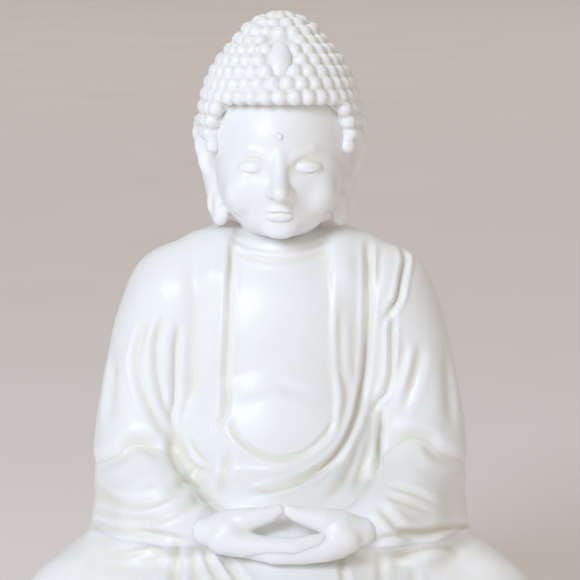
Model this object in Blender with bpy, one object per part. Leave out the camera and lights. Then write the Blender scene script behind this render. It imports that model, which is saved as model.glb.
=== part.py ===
"""A small seated Buddha in ivory-coloured resin, put together from separate castings.

Metres, +Z up. The figure faces -Y, so its right side is at -X. The origin is under the middle of
the lap, on the table. Run with: blender --background --python part.py
"""

import math

import bmesh
import bpy
from mathutils import Matrix, Vector

MM = 0.001

# Clearances
GLUE_GAP = 0.3 * MM  # between two castings that are glued face to face
PIN_GAP = 0.25 * MM  # round a dowel or a tenon in its hole
BALLAST_GAP = 0.6 * MM  # round the ballast in its hollow

# Underside
FELT_THICKNESS = 1.0 * MM
FELT_INSET = 1.0 * MM
PLATE_THICKNESS = 2.0 * MM
REBATE_RIM = 1.6 * MM  # wall left outside the base plate
BALLAST_ROOM = 1.4 * MM  # left free above the ballast

# Lap: the crossed legs under the robe
KNEE_HALF_WIDTH = 37.0 * MM
LAP_HALF_DEPTH = 23.5 * MM
LAP_BACK_TAPER = 0.24  # how much narrower the hips are than the knees
LAP_WALL = 3.6 * MM
LAP_CEILING = 8.4 * MM  # height of the hollow's roof above the lap's underside
LAP_ROOF_CHAMFER = 3.0 * MM
LAP_BOTTOM = FELT_THICKNESS + GLUE_GAP
# Height above the lap's underside, and how far in from the widest line the outside lies there.
LAP_PROFILE = (
    (0.0, 3.5),
    (3.2, 0.8),
    (7.4, 0.0),
    (11.6, 1.2),
    (15.0, 3.6),
    (17.8, 7.4),
    (19.2, 12.0),
)
# The dip between the thighs that the hands lie in
DIP_HALF_SIZES = Vector((24.0, 13.0, 6.0)) * MM
DIP_BELOW_HAND = 1.0 * MM

# Trunk: the robed torso with both upper arms
TRUNK_BACK_MARGIN = 3.1 * MM  # of the lap, behind the trunk
TRUNK_SEAT = 12.6 * MM  # how high above the lap's underside the trunk stands
TRUNK_HEIGHT = 46.0 * MM
TRUNK_WALL = 4.0 * MM
ELBOW_HALF_WIDTH = 25.0 * MM
TRUNK_HALF_DEPTH = 12.6 * MM
TRUNK_HOLLOW_SHARE = 0.72  # of the trunk's height; above it the casting is solid
# Share of the trunk's height, then how far in from the elbows' width and from the full depth.
TRUNK_PROFILE = (
    (0.0, 6.0, 0.4),
    (0.16, 1.6, 0.1),
    (0.35, 0.0, 0.0),
    (0.58, 0.9, 0.3),
    (0.76, 2.9, 1.6),
    (0.875, 5.7, 3.2),
    (0.955, 9.6, 5.2),
    (1.0, 14.0, 7.2),
)

# Forearms in their sleeves, for the figure's left side: the middle line from elbow to cuff. z is from
# the lap's top. At the elbow, x is from SLEEVE_INSET inside the torso's side and y from its front; at
# the cuff, both are from the wrist.
SLEEVE_INSET = 5.0 * MM
SLEEVE_ELBOW = ((0.2, 8.0, 5.7), (0.0, 1.6, 4.2))
SLEEVE_CUFF = ((6.8, 5.0, 1.6), (3.0, 2.2, 0.2))
SLEEVE_HALF_SIZES = ((5.2, 6.4), (5.6, 5.4), (4.9, 4.3), (3.9, 3.5))
CUFF_RADIUS = 1.9 * MM
CUFF_DEPTH = 4.5 * MM

# Hands, palms up, the right one on the left one, thumb tips together
HAND_REST = 15.9 * MM  # height of the lower hand's underside above the lap's underside
PALM_HALF_THICKNESS = 1.35 * MM
PALM_HALF_WIDTH = 3.0 * MM
# The middle line of the figure's left palm, from wrist to fingertips: x, and y from the torso's front.
PALM_LINE = ((10.4, -9.0), (7.6, -10.6), (3.4, -11.8), (-1.6, -12.2), (-6.4, -11.6))
PALM_WIDTHS = (0.72, 1.0, 1.0, 0.86, 0.45)
THUMB_RADIUS = 1.15 * MM
THUMB_RISE = 6.2 * MM  # of the thumb tips above the lower hand
# x, y from the torso's front, and share of the rise
THUMB_LINE = ((8.8, -9.2, 0.12), (6.2, -8.6, 0.55), (3.2, -8.0, 0.85), (1.2, -7.8, 1.0))

# Head and neck
NECK_RADIUS = 6.3 * MM
NECK_LENGTH = 9.0 * MM  # with the part that runs up inside the head
CHIN_CLEARANCE = 0.55 * MM  # of the chin above the torso
HEAD_FORWARD = 2.2 * MM  # of the trunk's middle
HEAD_HALF_WIDTH = 9.9 * MM
HEAD_HALF_DEPTH = 11.3 * MM
HEAD_HEIGHT = 22.6 * MM  # from the chin to the top of the skull, without the hair
# Share of the head's height, then shares of its half width and of its front and back half depths.
HEAD_PROFILE = (
    (0.0, 0.52, 0.72, 0.50),
    (0.05, 0.68, 0.86, 0.60),
    (0.15, 0.84, 0.95, 0.72),
    (0.30, 0.94, 0.99, 0.86),
    (0.45, 1.0, 1.0, 0.97),
    (0.60, 1.0, 0.98, 1.0),
    (0.74, 0.93, 0.92, 0.95),
    (0.86, 0.76, 0.76, 0.79),
    (0.95, 0.48, 0.48, 0.50),
    (1.0, 0.16, 0.16, 0.16),
)
NOSE_TOP_SHARE = 0.60  # of the head's height
NOSE_LENGTH = 5.6 * MM
NOSE_HALF_WIDTH = 1.7 * MM
NOSE_REACH = 2.0 * MM
# Share of the nose's length down from its top, how far it is sunk in the face, and shares of its size.
NOSE_PROFILE = ((0.0, 0.6, 0.3, 0.3), (0.5, 0.3, 0.6, 0.7), (0.9, 0.2, 1.0, 1.0), (1.0, 0.6, 0.8, 0.55))
NOSE_COUNT = 12
EAR_TOP_SHARE = 0.78  # of the head's height
EAR_LENGTH = 15.0 * MM
EAR_HALF_THICKNESS = 1.1 * MM
EAR_HALF_WIDTH = 2.5 * MM
# Share of the ear's length down from its top, x from the head's side and y from its middle, and
# shares of its half thickness and half width.
EAR_PROFILE = (
    (0.0, 0.2, 1.8, 0.7, 0.5),
    (0.1, 0.5, 1.4, 1.0, 1.0),
    (0.45, 0.0, 0.6, 0.85, 0.85),
    (0.85, -0.6, -0.4, 0.85, 0.85),
    (1.0, -0.9, -0.6, 0.7, 0.45),
)
EAR_COUNT = 14
EAR_ROOM = 0.9 * MM  # between an ear and the edge of the hair
EAR_ROOM_OUTWARD = 2.7 * MM

# Hair
HAIR_THICKNESS = 1.1 * MM
SKULL_CENTRE_SHARE = 0.52  # of the head's height
HAIR_EDGE_REACH = 50 * MM  # size of the block that the hair is cut off with at the hairline
HAIR_SMOOTH_ANGLE = 80.0  # degrees
HAIRLINE_FRONT_SHARE = 0.77  # of the head's height, at the forehead
HAIRLINE_BACK_SHARE = 0.24  # at the nape
CROWN_RADIUS = 7.9 * MM  # the raised crown on top of the skull
CROWN_RISE = 6.1 * MM  # how far its top stands above the hair on the skull
CROWN_SET_BACK = 0.8 * MM
CURL_RISE = 0.8 * MM
CURL_ROW_PITCH = 2.3 * MM
CURLS_ROUND = 26
CURL_START_TILT = math.radians(6)  # from the middle of the crown
CURL_END_TILT = math.radians(140)
CURL_STEPS = 500
CURL_FULL_RADIUS = 6.0 * MM  # nearer the crown's middle than this, curls are flatter
JEWEL_HALF_SIZES = Vector((1.5, 0.9, 2.2)) * MM
JEWEL_HEIGHT_SHARE = 0.5  # between the hairline and the top of the crown
JEWEL_LEAN = 35.0  # degrees that its top leans back with the hair
JEWEL_STANDOFF = 0.3 * MM
URNA_RADIUS = 0.6 * MM
URNA_BELOW_HAIR = 3.4 * MM

# Pins between lap and trunk, and between trunk and sleeves
PIN_RADIUS = 0.8 * MM
PIN_LENGTH = 7.0 * MM
PIN_DEPTH_IN_LAP = 2.6 * MM
PIN_INSET = 0.6 * MM
PIN_DEPTH_IN_SLEEVE = 3.4 * MM

# Dowel between trunk and head
DOWEL_RADIUS = 1.5 * MM
DOWEL_LENGTH = 12.0 * MM
DOWEL_END_GAP = 0.5 * MM

RING_COUNT = 40
SQUARENESS = 2.35  # of the lap and trunk sections; 2 is an ellipse
HEAD_RING_COUNT = 32
HEAD_SQUARENESS = 2.15
BAR_COUNT = 24  # sides of a dowel
PIN_COUNT = 16

# Places that follow from the sizes above
TRUNK_Y = LAP_HALF_DEPTH - TRUNK_BACK_MARGIN - TRUNK_HALF_DEPTH
TRUNK_FRONT = TRUNK_Y - TRUNK_HALF_DEPTH
HEAD_Y = TRUNK_Y - HEAD_FORWARD
LAP_TOP = LAP_BOTTOM + LAP_PROFILE[-1][0] * MM
LOWER_HAND_MIDDLE = LAP_BOTTOM + HAND_REST + PALM_HALF_THICKNESS
TRUNK_BOTTOM = LAP_BOTTOM + TRUNK_SEAT
TRUNK_TOP = TRUNK_BOTTOM + TRUNK_HEIGHT
HEAD_BOTTOM = TRUNK_TOP + GLUE_GAP
CHIN = HEAD_BOTTOM + CHIN_CLEARANCE
SKULL_TOP = CHIN + HEAD_HEIGHT
HAIRLINE_FRONT = CHIN + HAIRLINE_FRONT_SHARE * HEAD_HEIGHT
HAIRLINE_BACK = CHIN + HAIRLINE_BACK_SHARE * HEAD_HEIGHT
CROWN_TOP = SKULL_TOP + HAIR_THICKNESS + CROWN_RISE


def clear_scene():
    for old in list(bpy.data.objects):
        bpy.data.objects.remove(old)


def material(name, colour, roughness, metallic=0.0):
    made = bpy.data.materials.new(name)
    made.use_nodes = True
    shader = made.node_tree.nodes["Principled BSDF"]
    shader.inputs["Base Color"].default_value = (*colour, 1.0)
    shader.inputs["Roughness"].default_value = roughness
    shader.inputs["Metallic"].default_value = metallic
    return made


def finish(name, shape, finish_material=None, smooth_angle=40.0):
    """A bmesh made into an object. Without a material it is a cutter, which isn't part of the figure."""
    bmesh.ops.recalc_face_normals(shape, faces=shape.faces)
    mesh = bpy.data.meshes.new(name)
    shape.to_mesh(mesh)
    shape.free()
    made = bpy.data.objects.new(name, mesh)
    bpy.context.scene.collection.objects.link(made)
    if finish_material is None:
        made.hide_render = True
        made.display_type = "WIRE"
    else:
        mesh.materials.append(finish_material)
        mesh.shade_smooth()
        mesh.set_sharp_from_angle(angle=math.radians(smooth_angle))
    return made


def combine(target, other, operation, solver="EXACT"):
    boolean = target.modifiers.new(f"{operation.lower()}_{other.name}", "BOOLEAN")
    boolean.operation = operation
    boolean.object = other
    boolean.solver = solver


def cut(target, *cutters, solver="EXACT"):
    for cutter in cutters:
        combine(target, cutter, "DIFFERENCE", solver)


def join(target, *others):
    for other in others:
        combine(target, other, "UNION")


def power(value, exponent):
    return 0.0 if abs(value) < 1e-9 else math.copysign(abs(value) ** exponent, value)


def oval(z, half_width, front, back, squareness=SQUARENESS, count=RING_COUNT):
    """A level section: a superellipse as wide as 2 * half_width, from y = front to y = back."""
    middle, half_depth = (front + back) / 2, (back - front) / 2
    ring = []
    for i in range(count):
        turn = 2 * math.pi * i / count
        x = half_width * power(math.cos(turn), 2 / squareness)
        y = middle + half_depth * power(math.sin(turn), 2 / squareness)
        ring.append(Vector((x, y, z)))
    return ring


def loft(rings):
    """A closed skin over rings that all have the same number of points."""
    shape = bmesh.new()
    levels = [[shape.verts.new(point) for point in ring] for ring in rings]
    for low, high in zip(levels, levels[1:]):
        for i in range(len(low)):
            j = (i + 1) % len(low)
            shape.faces.new((low[i], low[j], high[j], high[i]))
    shape.faces.new(levels[0])
    shape.faces.new(levels[-1])
    return shape


def limb(line, half_sizes, count=16):
    """A skin along a line of points; each section's half width is level and its half height upright."""
    rings = []
    for i, centre in enumerate(line):
        ahead = line[min(i + 1, len(line) - 1)] - line[max(i - 1, 0)]
        across = ahead.cross(Vector((0, 0, 1)))
        if across.length < 0.05 * ahead.length:
            across = Vector((0, 1, 0))
        across.normalize()
        upright = across.cross(ahead).normalized()
        wide, high = half_sizes[i]
        rings.append(
            [
                centre + across * wide * math.cos(turn) + upright * high * math.sin(turn)
                for turn in (2 * math.pi * k / count for k in range(count))
            ]
        )
    return loft(rings)


def round_ends(line, half_sizes, end_shares=(0.92, 0.6)):
    """Adds smaller sections at the far end of a limb, so that it closes in a rounded tip."""
    ahead = (line[-1] - line[-2]).normalized()
    wide, high = half_sizes[-1]
    points, sizes = list(line), list(half_sizes)
    for share in end_shares:
        points.append(line[-1] + ahead * high * math.sqrt(1 - (share - 0.02) ** 2))
        sizes.append((wide * share, high * share))
    return points, sizes


def ellipsoid(centre, half_sizes, segments=28, rings=16):
    shape = bmesh.new()
    place = Matrix.Translation(centre) @ Matrix.Diagonal((*half_sizes, 1.0))
    bmesh.ops.create_uvsphere(shape, u_segments=segments, v_segments=rings, radius=1.0, matrix=place)
    return shape


def cylinder(low, high, radius, count=BAR_COUNT):
    """A closed round bar between two points."""
    shape = bmesh.new()
    along = high - low
    place = Matrix.Translation((low + high) / 2) @ along.to_track_quat("Z", "Y").to_matrix().to_4x4()
    bmesh.ops.create_cone(
        shape,
        cap_ends=True,
        segments=count,
        radius1=radius,
        radius2=radius,
        depth=along.length,
        matrix=place,
    )
    return shape


def box(low, high):
    shape = bmesh.new()
    place = Matrix.Translation((low + high) / 2) @ Matrix.Diagonal((*(high - low), 1.0))
    bmesh.ops.create_cube(shape, size=1.0, matrix=place)
    return shape


# ---------------------------------------------------------------- lap and underside


def lap_outline(z, edge):
    """The lap's outline seen from above, moved in by edge, and narrower towards the hips."""
    ring = oval(z, KNEE_HALF_WIDTH - edge, -LAP_HALF_DEPTH + edge, LAP_HALF_DEPTH - edge)
    for point in ring:
        back = (point.y + LAP_HALF_DEPTH) / (2 * LAP_HALF_DEPTH)
        point.x *= 1 - LAP_BACK_TAPER * max(back, 0.0) ** 2
    return ring


def base_outline(z, inset):
    return lap_outline(z, LAP_PROFILE[0][1] * MM + inset)


def lap_shape(grow=0.0):
    rings = []
    last = len(LAP_PROFILE) - 1
    for i, (height, inset) in enumerate(LAP_PROFILE):
        z = LAP_BOTTOM + height * MM + (grow if i == last else -grow if i == 0 else 0.0)
        rings.append(lap_outline(z, inset * MM - grow))
    return loft(rings)


def dip_shape():
    floor = LAP_BOTTOM + HAND_REST - DIP_BELOW_HAND
    y = TRUNK_FRONT + (PALM_LINE[0][1] + PALM_LINE[3][1]) / 2 * MM
    return ellipsoid(Vector((0, y, floor + DIP_HALF_SIZES.z)), DIP_HALF_SIZES)


def make_lap(resin):
    lap = finish("lap", lap_shape(), resin)
    below = LAP_BOTTOM - PLATE_THICKNESS
    roof = LAP_BOTTOM + LAP_CEILING
    step = LAP_BOTTOM + PLATE_THICKNESS
    hollow = loft(
        [
            base_outline(below, REBATE_RIM),
            base_outline(step, REBATE_RIM),
            base_outline(step, LAP_WALL),
            base_outline(roof - LAP_ROOF_CHAMFER, LAP_WALL),
            base_outline(roof, LAP_WALL + LAP_ROOF_CHAMFER),
        ]
    )
    cut(
        lap,
        finish("lap_hollow", hollow),
        finish("trunk_socket", trunk_shape(GLUE_GAP)),
        finish("hand_dip", dip_shape()),
        finish("left_sleeve_seat", sleeve_shape(1, GLUE_GAP)),
        finish("right_sleeve_seat", sleeve_shape(-1, GLUE_GAP)),
        finish("left_pin_hole", torso_pin_shape(1, PIN_GAP)),
        finish("right_pin_hole", torso_pin_shape(-1, PIN_GAP)),
    )
    return lap


def make_base_plate(board):
    inset = REBATE_RIM + GLUE_GAP
    top = LAP_BOTTOM + PLATE_THICKNESS - GLUE_GAP
    return finish("base_plate", loft([base_outline(LAP_BOTTOM, inset), base_outline(top, inset)]), board)


def make_felt_pad(felt):
    rings = [base_outline(0.0, FELT_INSET), base_outline(FELT_THICKNESS, FELT_INSET)]
    return finish("felt_pad", loft(rings), felt)


def make_ballast(filler):
    inset = LAP_WALL + BALLAST_GAP
    low = LAP_BOTTOM + PLATE_THICKNESS + GLUE_GAP
    shoulder = LAP_BOTTOM + LAP_CEILING - LAP_ROOF_CHAMFER
    chamfer = LAP_ROOF_CHAMFER - BALLAST_ROOM
    rings = [
        base_outline(low, inset),
        base_outline(shoulder, inset),
        base_outline(shoulder + chamfer, inset + chamfer),
    ]
    return finish("ballast_block", loft(rings), filler)


def torso_pin_shape(side, gap=0.0):
    """A pin up through the lap's roof into the middle of the torso's wall."""
    x = side * (ELBOW_HALF_WIDTH - TRUNK_PROFILE[0][1] * MM - TRUNK_WALL / 2 - PIN_INSET)
    reach = Vector((0, 0, PIN_LENGTH / 2 + gap))
    middle = Vector((x, TRUNK_Y, TRUNK_BOTTOM + PIN_LENGTH / 2 - PIN_DEPTH_IN_LAP))
    return cylinder(middle - reach, middle + reach, PIN_RADIUS + gap, PIN_COUNT)


# ---------------------------------------------------------------- trunk


def trunk_shape(grow=0.0):
    rings = []
    last = len(TRUNK_PROFILE) - 1
    for i, (share, narrower, shallower) in enumerate(TRUNK_PROFILE):
        z = TRUNK_BOTTOM + share * TRUNK_HEIGHT + (grow if i == last else -grow if i == 0 else 0.0)
        half_depth = TRUNK_HALF_DEPTH - shallower * MM + grow
        half_width = ELBOW_HALF_WIDTH - narrower * MM + grow
        rings.append(oval(z, half_width, TRUNK_Y - half_depth, TRUNK_Y + half_depth))
    return loft(rings)


def make_trunk(resin):
    trunk = finish("torso", trunk_shape(), resin)
    low = TRUNK_BOTTOM - TRUNK_WALL
    high = TRUNK_BOTTOM + TRUNK_HOLLOW_SHARE * TRUNK_HEIGHT
    half_width = ELBOW_HALF_WIDTH - TRUNK_PROFILE[0][1] * MM - TRUNK_WALL
    half_depth = TRUNK_HALF_DEPTH - TRUNK_PROFILE[0][2] * MM - TRUNK_WALL
    hollow = loft(
        [
            oval(low, half_width, TRUNK_Y - half_depth, TRUNK_Y + half_depth),
            oval(high - half_depth, half_width, TRUNK_Y - half_depth, TRUNK_Y + half_depth),
            oval(high, 0.5 * half_width, TRUNK_Y - 0.5 * half_depth, TRUNK_Y + 0.5 * half_depth),
        ]
    )
    cut(trunk, finish("trunk_hollow", hollow), finish("trunk_dowel_hole", dowel_hole()))
    for side in (1, -1):
        cut(
            trunk,
            finish(f"trunk_lap_pin_hole_{side}", torso_pin_shape(side, PIN_GAP)),
            finish(f"trunk_sleeve_pin_hole_{side}", sleeve_pin_shape(side, PIN_GAP)),
        )
    return trunk


# ---------------------------------------------------------------- sleeves and hands


def sleeve_line(side):
    elbow = Vector((ELBOW_HALF_WIDTH - SLEEVE_INSET, TRUNK_FRONT, LAP_TOP))
    wrist = Vector((PALM_LINE[0][0] * MM, TRUNK_FRONT + PALM_LINE[0][1] * MM, LAP_TOP))
    line = [elbow + Vector(step) * MM for step in SLEEVE_ELBOW]
    line += [wrist + Vector(step) * MM for step in SLEEVE_CUFF]
    for point in line:
        point.x *= side
    return line


def sleeve_shape(side, grow=0.0):
    sizes = [(wide * MM + grow, high * MM + grow) for wide, high in SLEEVE_HALF_SIZES]
    return limb(sleeve_line(side), sizes, count=20)


def trunk_front_at(x):
    """Where the front of the torso lies at a distance to the side, at its widest level."""
    across = min(abs(x) / ELBOW_HALF_WIDTH, 1.0) ** SQUARENESS
    return TRUNK_Y - TRUNK_HALF_DEPTH * (1 - across) ** (1 / SQUARENESS)


def sleeve_pin_shape(side, gap=0.0):
    """A level pin from the front of the torso into the thick end of the sleeve."""
    elbow = sleeve_line(side)[1]
    front = trunk_front_at(elbow.x) - PIN_DEPTH_IN_SLEEVE - gap
    points = [Vector((elbow.x, y, elbow.z)) for y in (front, front + PIN_LENGTH + 2 * gap)]
    return cylinder(*points, PIN_RADIUS + gap, PIN_COUNT)


def cuff_axis(side):
    """The middle of the cuff, and the way the sleeve points there."""
    line = sleeve_line(side)
    return line[-1], (line[-1] - line[-2]).normalized()


def make_sleeve(name, side, resin):
    sleeve = finish(name, sleeve_shape(side), resin)
    cuff, ahead = cuff_axis(side)
    socket = cylinder(cuff - ahead * CUFF_DEPTH, cuff + ahead * CUFF_DEPTH, CUFF_RADIUS)
    cut(
        sleeve,
        finish(name + "_trunk_face", trunk_shape(GLUE_GAP)),
        finish(name + "_socket", socket),
        finish(name + "_pin_hole", sleeve_pin_shape(side, PIN_GAP)),
    )
    return sleeve


def make_hand(name, side, level, resin):
    """A hand, palm up. Level 0 lies on the lap and level 1 on the other hand."""
    z = LOWER_HAND_MIDDLE + level * (2 * PALM_HALF_THICKNESS + GLUE_GAP)
    cuff, ahead = cuff_axis(side)
    line = [Vector((side * x * MM, TRUNK_FRONT + y * MM, z)) for x, y in PALM_LINE]
    sizes = [(PALM_HALF_WIDTH * share, PALM_HALF_THICKNESS) for share in PALM_WIDTHS]
    palm = finish(name, limb(*round_ends(line, sizes)), resin)
    wrist = line[0]
    tenon_radius = CUFF_RADIUS - PIN_GAP
    tenon_line = [
        cuff - ahead * (CUFF_DEPTH - PIN_GAP),
        cuff + ahead * GLUE_GAP,
        (cuff + ahead * GLUE_GAP + wrist) / 2,
        wrist + (line[1] - wrist) * 0.6,
    ]
    tenon_sizes = [(tenon_radius, tenon_radius)] * 2 + [(tenon_radius, PALM_HALF_THICKNESS * 0.97)] * 2
    rise = THUMB_RISE + LOWER_HAND_MIDDLE - z
    thumb_line = [
        Vector((side * x * MM, TRUNK_FRONT + y * MM, z + share * rise)) for x, y, share in THUMB_LINE
    ]
    thumb_sizes = [(THUMB_RADIUS, THUMB_RADIUS)] * len(thumb_line)
    join(
        palm,
        finish(name + "_tenon", limb(tenon_line, tenon_sizes)),
        finish(name + "_thumb", limb(*round_ends(thumb_line, thumb_sizes))),
    )
    return palm


# ---------------------------------------------------------------- head


def head_rings(grow=0.0):
    rings = []
    for share, wide, front, back in HEAD_PROFILE:
        z = CHIN + share * HEAD_HEIGHT + (grow if share == 1.0 else 0.0)
        rings.append(
            oval(
                z,
                HEAD_HALF_WIDTH * wide + grow,
                HEAD_Y - HEAD_HALF_DEPTH * front - grow,
                HEAD_Y + HEAD_HALF_DEPTH * back + grow,
                squareness=HEAD_SQUARENESS,
                count=HEAD_RING_COUNT,
            )
        )
    return rings


def dowel_hole():
    middle = Vector((0, TRUNK_Y, TRUNK_TOP))
    reach = Vector((0, 0, DOWEL_LENGTH / 2 + DOWEL_END_GAP))
    return cylinder(middle - reach, middle + reach, DOWEL_RADIUS + PIN_GAP)


def make_dowel(brass):
    middle = Vector((0, TRUNK_Y, TRUNK_TOP))
    reach = Vector((0, 0, DOWEL_LENGTH / 2))
    return finish("neck_dowel", cylinder(middle - reach, middle + reach, DOWEL_RADIUS), brass)


def level_rings(centres, half_sizes, count):
    """Level ellipses, one at each centre, with half sizes along x and y."""
    turns = [2 * math.pi * k / count for k in range(count)]
    return [
        [centre + Vector((wide * math.cos(turn), deep * math.sin(turn), 0)) for turn in turns]
        for centre, (wide, deep) in zip(centres, half_sizes)
    ]


def ear_shape(side):
    """A long ear, standing a little out from the head, with its lobe hanging free beside the jaw."""
    top = CHIN + EAR_TOP_SHARE * HEAD_HEIGHT
    centres, half_sizes = [], []
    for down, out, y, thick, wide in EAR_PROFILE:
        centres.append(
            Vector((side * (HEAD_HALF_WIDTH + out * MM), HEAD_Y + y * MM, top - down * EAR_LENGTH))
        )
        half_sizes.append((EAR_HALF_THICKNESS * thick, EAR_HALF_WIDTH * wide))
    return loft(level_rings(centres, half_sizes, EAR_COUNT))


def nose_shape():
    top = CHIN + NOSE_TOP_SHARE * HEAD_HEIGHT
    centres, half_sizes = [], []
    for down, sunk, wide, reach in NOSE_PROFILE:
        centres.append(Vector((0, HEAD_Y - HEAD_HALF_DEPTH + sunk * MM, top - down * NOSE_LENGTH)))
        half_sizes.append((NOSE_HALF_WIDTH * wide, NOSE_REACH * reach))
    return loft(level_rings(centres, half_sizes, NOSE_COUNT))


def make_head(resin):
    head = finish("head", loft(head_rings()), resin)
    neck_middle = Vector((0, TRUNK_Y, HEAD_BOTTOM))
    neck = cylinder(neck_middle, neck_middle + Vector((0, 0, NECK_LENGTH)), NECK_RADIUS, HEAD_RING_COUNT)
    join(
        head,
        finish("neck", neck),
        finish("nose", nose_shape()),
        finish("left_ear", ear_shape(1)),
        finish("right_ear", ear_shape(-1)),
    )
    cut(head, finish("head_dowel_hole", dowel_hole()), finish("urna_seat", urna_shape(PIN_GAP)))
    return head


def forehead_y(z):
    """Where the middle of the face lies at a height, between the profile's two nearest sections."""
    share = (z - CHIN) / HEAD_HEIGHT
    for low, high in zip(HEAD_PROFILE, HEAD_PROFILE[1:]):
        if low[0] <= share <= high[0]:
            between = (share - low[0]) / (high[0] - low[0])
            return HEAD_Y - HEAD_HALF_DEPTH * (low[2] + between * (high[2] - low[2]))
    return HEAD_Y


def urna_shape(gap=0.0):
    z = HAIRLINE_FRONT - URNA_BELOW_HAIR
    half_sizes = Vector((1, 1, 1)) * (URNA_RADIUS + gap)
    return ellipsoid(Vector((0, forehead_y(z), z)), half_sizes, segments=12, rings=8)


def make_urna(resin):
    return finish("urna_bead", urna_shape(), resin)


# ---------------------------------------------------------------- hair

SKULL_CENTRE = Vector((0, HEAD_Y, CHIN + SKULL_CENTRE_SHARE * HEAD_HEIGHT))
SKULL_SIZES = Vector(
    (
        HEAD_HALF_WIDTH + HAIR_THICKNESS,
        HEAD_HALF_DEPTH + HAIR_THICKNESS,
        SKULL_TOP + HAIR_THICKNESS - SKULL_CENTRE.z,
    )
)
CROWN_CENTRE = Vector((0, HEAD_Y + CROWN_SET_BACK, CROWN_TOP - CROWN_RADIUS))
CROWN_SIZES = Vector((CROWN_RADIUS, CROWN_RADIUS, CROWN_RADIUS))


def reach_of(direction, centre, half_sizes):
    """How far from the skull's centre a ray leaves an ellipsoid, or 0 where it misses."""
    start = [(SKULL_CENTRE[k] - centre[k]) / half_sizes[k] for k in range(3)]
    step = [direction[k] / half_sizes[k] for k in range(3)]
    a = sum(s * s for s in step)
    b = sum(p * s for p, s in zip(start, step))
    inside = b * b - a * (sum(p * p for p in start) - 1)
    return max(0.0, (-b + math.sqrt(inside)) / a) if inside > 0 else 0.0


def hair_point(direction):
    """The point of the hair's surface in a direction from the skull's centre."""
    skull = reach_of(direction, SKULL_CENTRE, SKULL_SIZES)
    return SKULL_CENTRE + direction * max(skull, reach_of(direction, CROWN_CENTRE, CROWN_SIZES))


def hair_levels():
    """Angles from straight up, half a row of curls apart along the side of the hair."""
    walked, levels = 0.0, [CURL_START_TILT]
    last = hair_point(Vector((math.sin(CURL_START_TILT), 0, math.cos(CURL_START_TILT))))
    for k in range(1, CURL_STEPS):
        tilt = CURL_START_TILT + (CURL_END_TILT - CURL_START_TILT) * k / CURL_STEPS
        here = hair_point(Vector((math.sin(tilt), 0, math.cos(tilt))))
        walked += (here - last).length
        last = here
        if walked >= CURL_ROW_PITCH / 2:
            levels.append(tilt)
            walked = 0.0
    return levels


def curly_skin():
    """The hair's outside. Every second point of every second level is raised into a curl."""
    rings = []
    for level, tilt in enumerate(hair_levels()):
        ring = []
        row, on_row = divmod(level, 2)
        for k in range(2 * CURLS_ROUND):
            turn = math.pi * k / CURLS_ROUND - math.pi / 2
            way = Vector((math.sin(tilt) * math.cos(turn), math.sin(tilt) * math.sin(turn), math.cos(tilt)))
            place = hair_point(way)
            rise = CURL_RISE * min(1.0, math.hypot(place.x, place.y - HEAD_Y) / CURL_FULL_RADIUS)
            raised = on_row and (k + row) % 2 and not behind_jewel(place)
            ring.append(place + way * rise if raised else place)
        rings.append(ring)
    return loft(rings)


def jewel_centre():
    z = HAIRLINE_FRONT + JEWEL_HEIGHT_SHARE * (CROWN_TOP - HAIRLINE_FRONT)
    rise = math.atan2(z - SKULL_CENTRE.z, HEAD_HALF_DEPTH)
    way = Vector((0, -math.cos(rise), math.sin(rise)))
    return hair_point(way) + way * JEWEL_STANDOFF


def jewel_shape(gap=0.0):
    shape = ellipsoid(Vector(), JEWEL_HALF_SIZES + Vector((1, 1, 1)) * gap, 16, 10)
    lean = Matrix.Rotation(math.radians(-JEWEL_LEAN), 4, "X")
    bmesh.ops.transform(shape, matrix=Matrix.Translation(jewel_centre()) @ lean, verts=shape.verts)
    return shape


def behind_jewel(place):
    away = place - jewel_centre()
    room = JEWEL_HALF_SIZES + Vector((1, 1, 1)) * (CURL_RISE + GLUE_GAP)
    return sum((away[k] / room[k]) ** 2 for k in (0, 2)) < 1 and place.y < HEAD_Y


def make_hair_cap(resin):
    cap = finish("hair_cap", curly_skin(), resin, HAIR_SMOOTH_ANGLE)
    reach = Vector((1, 1, 0)) * HAIR_EDGE_REACH
    below = box(-reach - Vector((0, 0, HAIR_EDGE_REACH)), reach)
    slope = math.atan2(HAIRLINE_BACK - HAIRLINE_FRONT, 2 * HEAD_HALF_DEPTH)
    middle = Vector((0, HEAD_Y, (HAIRLINE_FRONT + HAIRLINE_BACK) / 2))
    tilt = Matrix.Translation(middle) @ Matrix.Rotation(slope, 4, "X")
    bmesh.ops.transform(below, matrix=tilt, verts=below.verts)
    cut(
        cap,
        finish("skull_hollow", loft(head_rings(GLUE_GAP))),
        finish("below_hairline", below),
        finish("left_ear_room", ear_room(1)),
        finish("right_ear_room", ear_room(-1)),
        finish("jewel_seat", jewel_shape(PIN_GAP)),
        solver="MANIFOLD",  # the exact one leaves loose slivers where the hairline runs through curls
    )
    return cap


def ear_room(side):
    """The ear with room round it, widened outward, which the hair cap is cut back from."""
    ear = ear_shape(side)
    middle = sum((v.co for v in ear.verts), Vector()) / len(ear.verts)
    for vert in ear.verts:
        away = vert.co - middle
        vert.co += away.normalized() * EAR_ROOM
        if side * away.x > 0:
            vert.co.x += side * EAR_ROOM_OUTWARD
    return ear


def make_jewel(resin):
    return finish("hair_jewel", jewel_shape(), resin)


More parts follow.
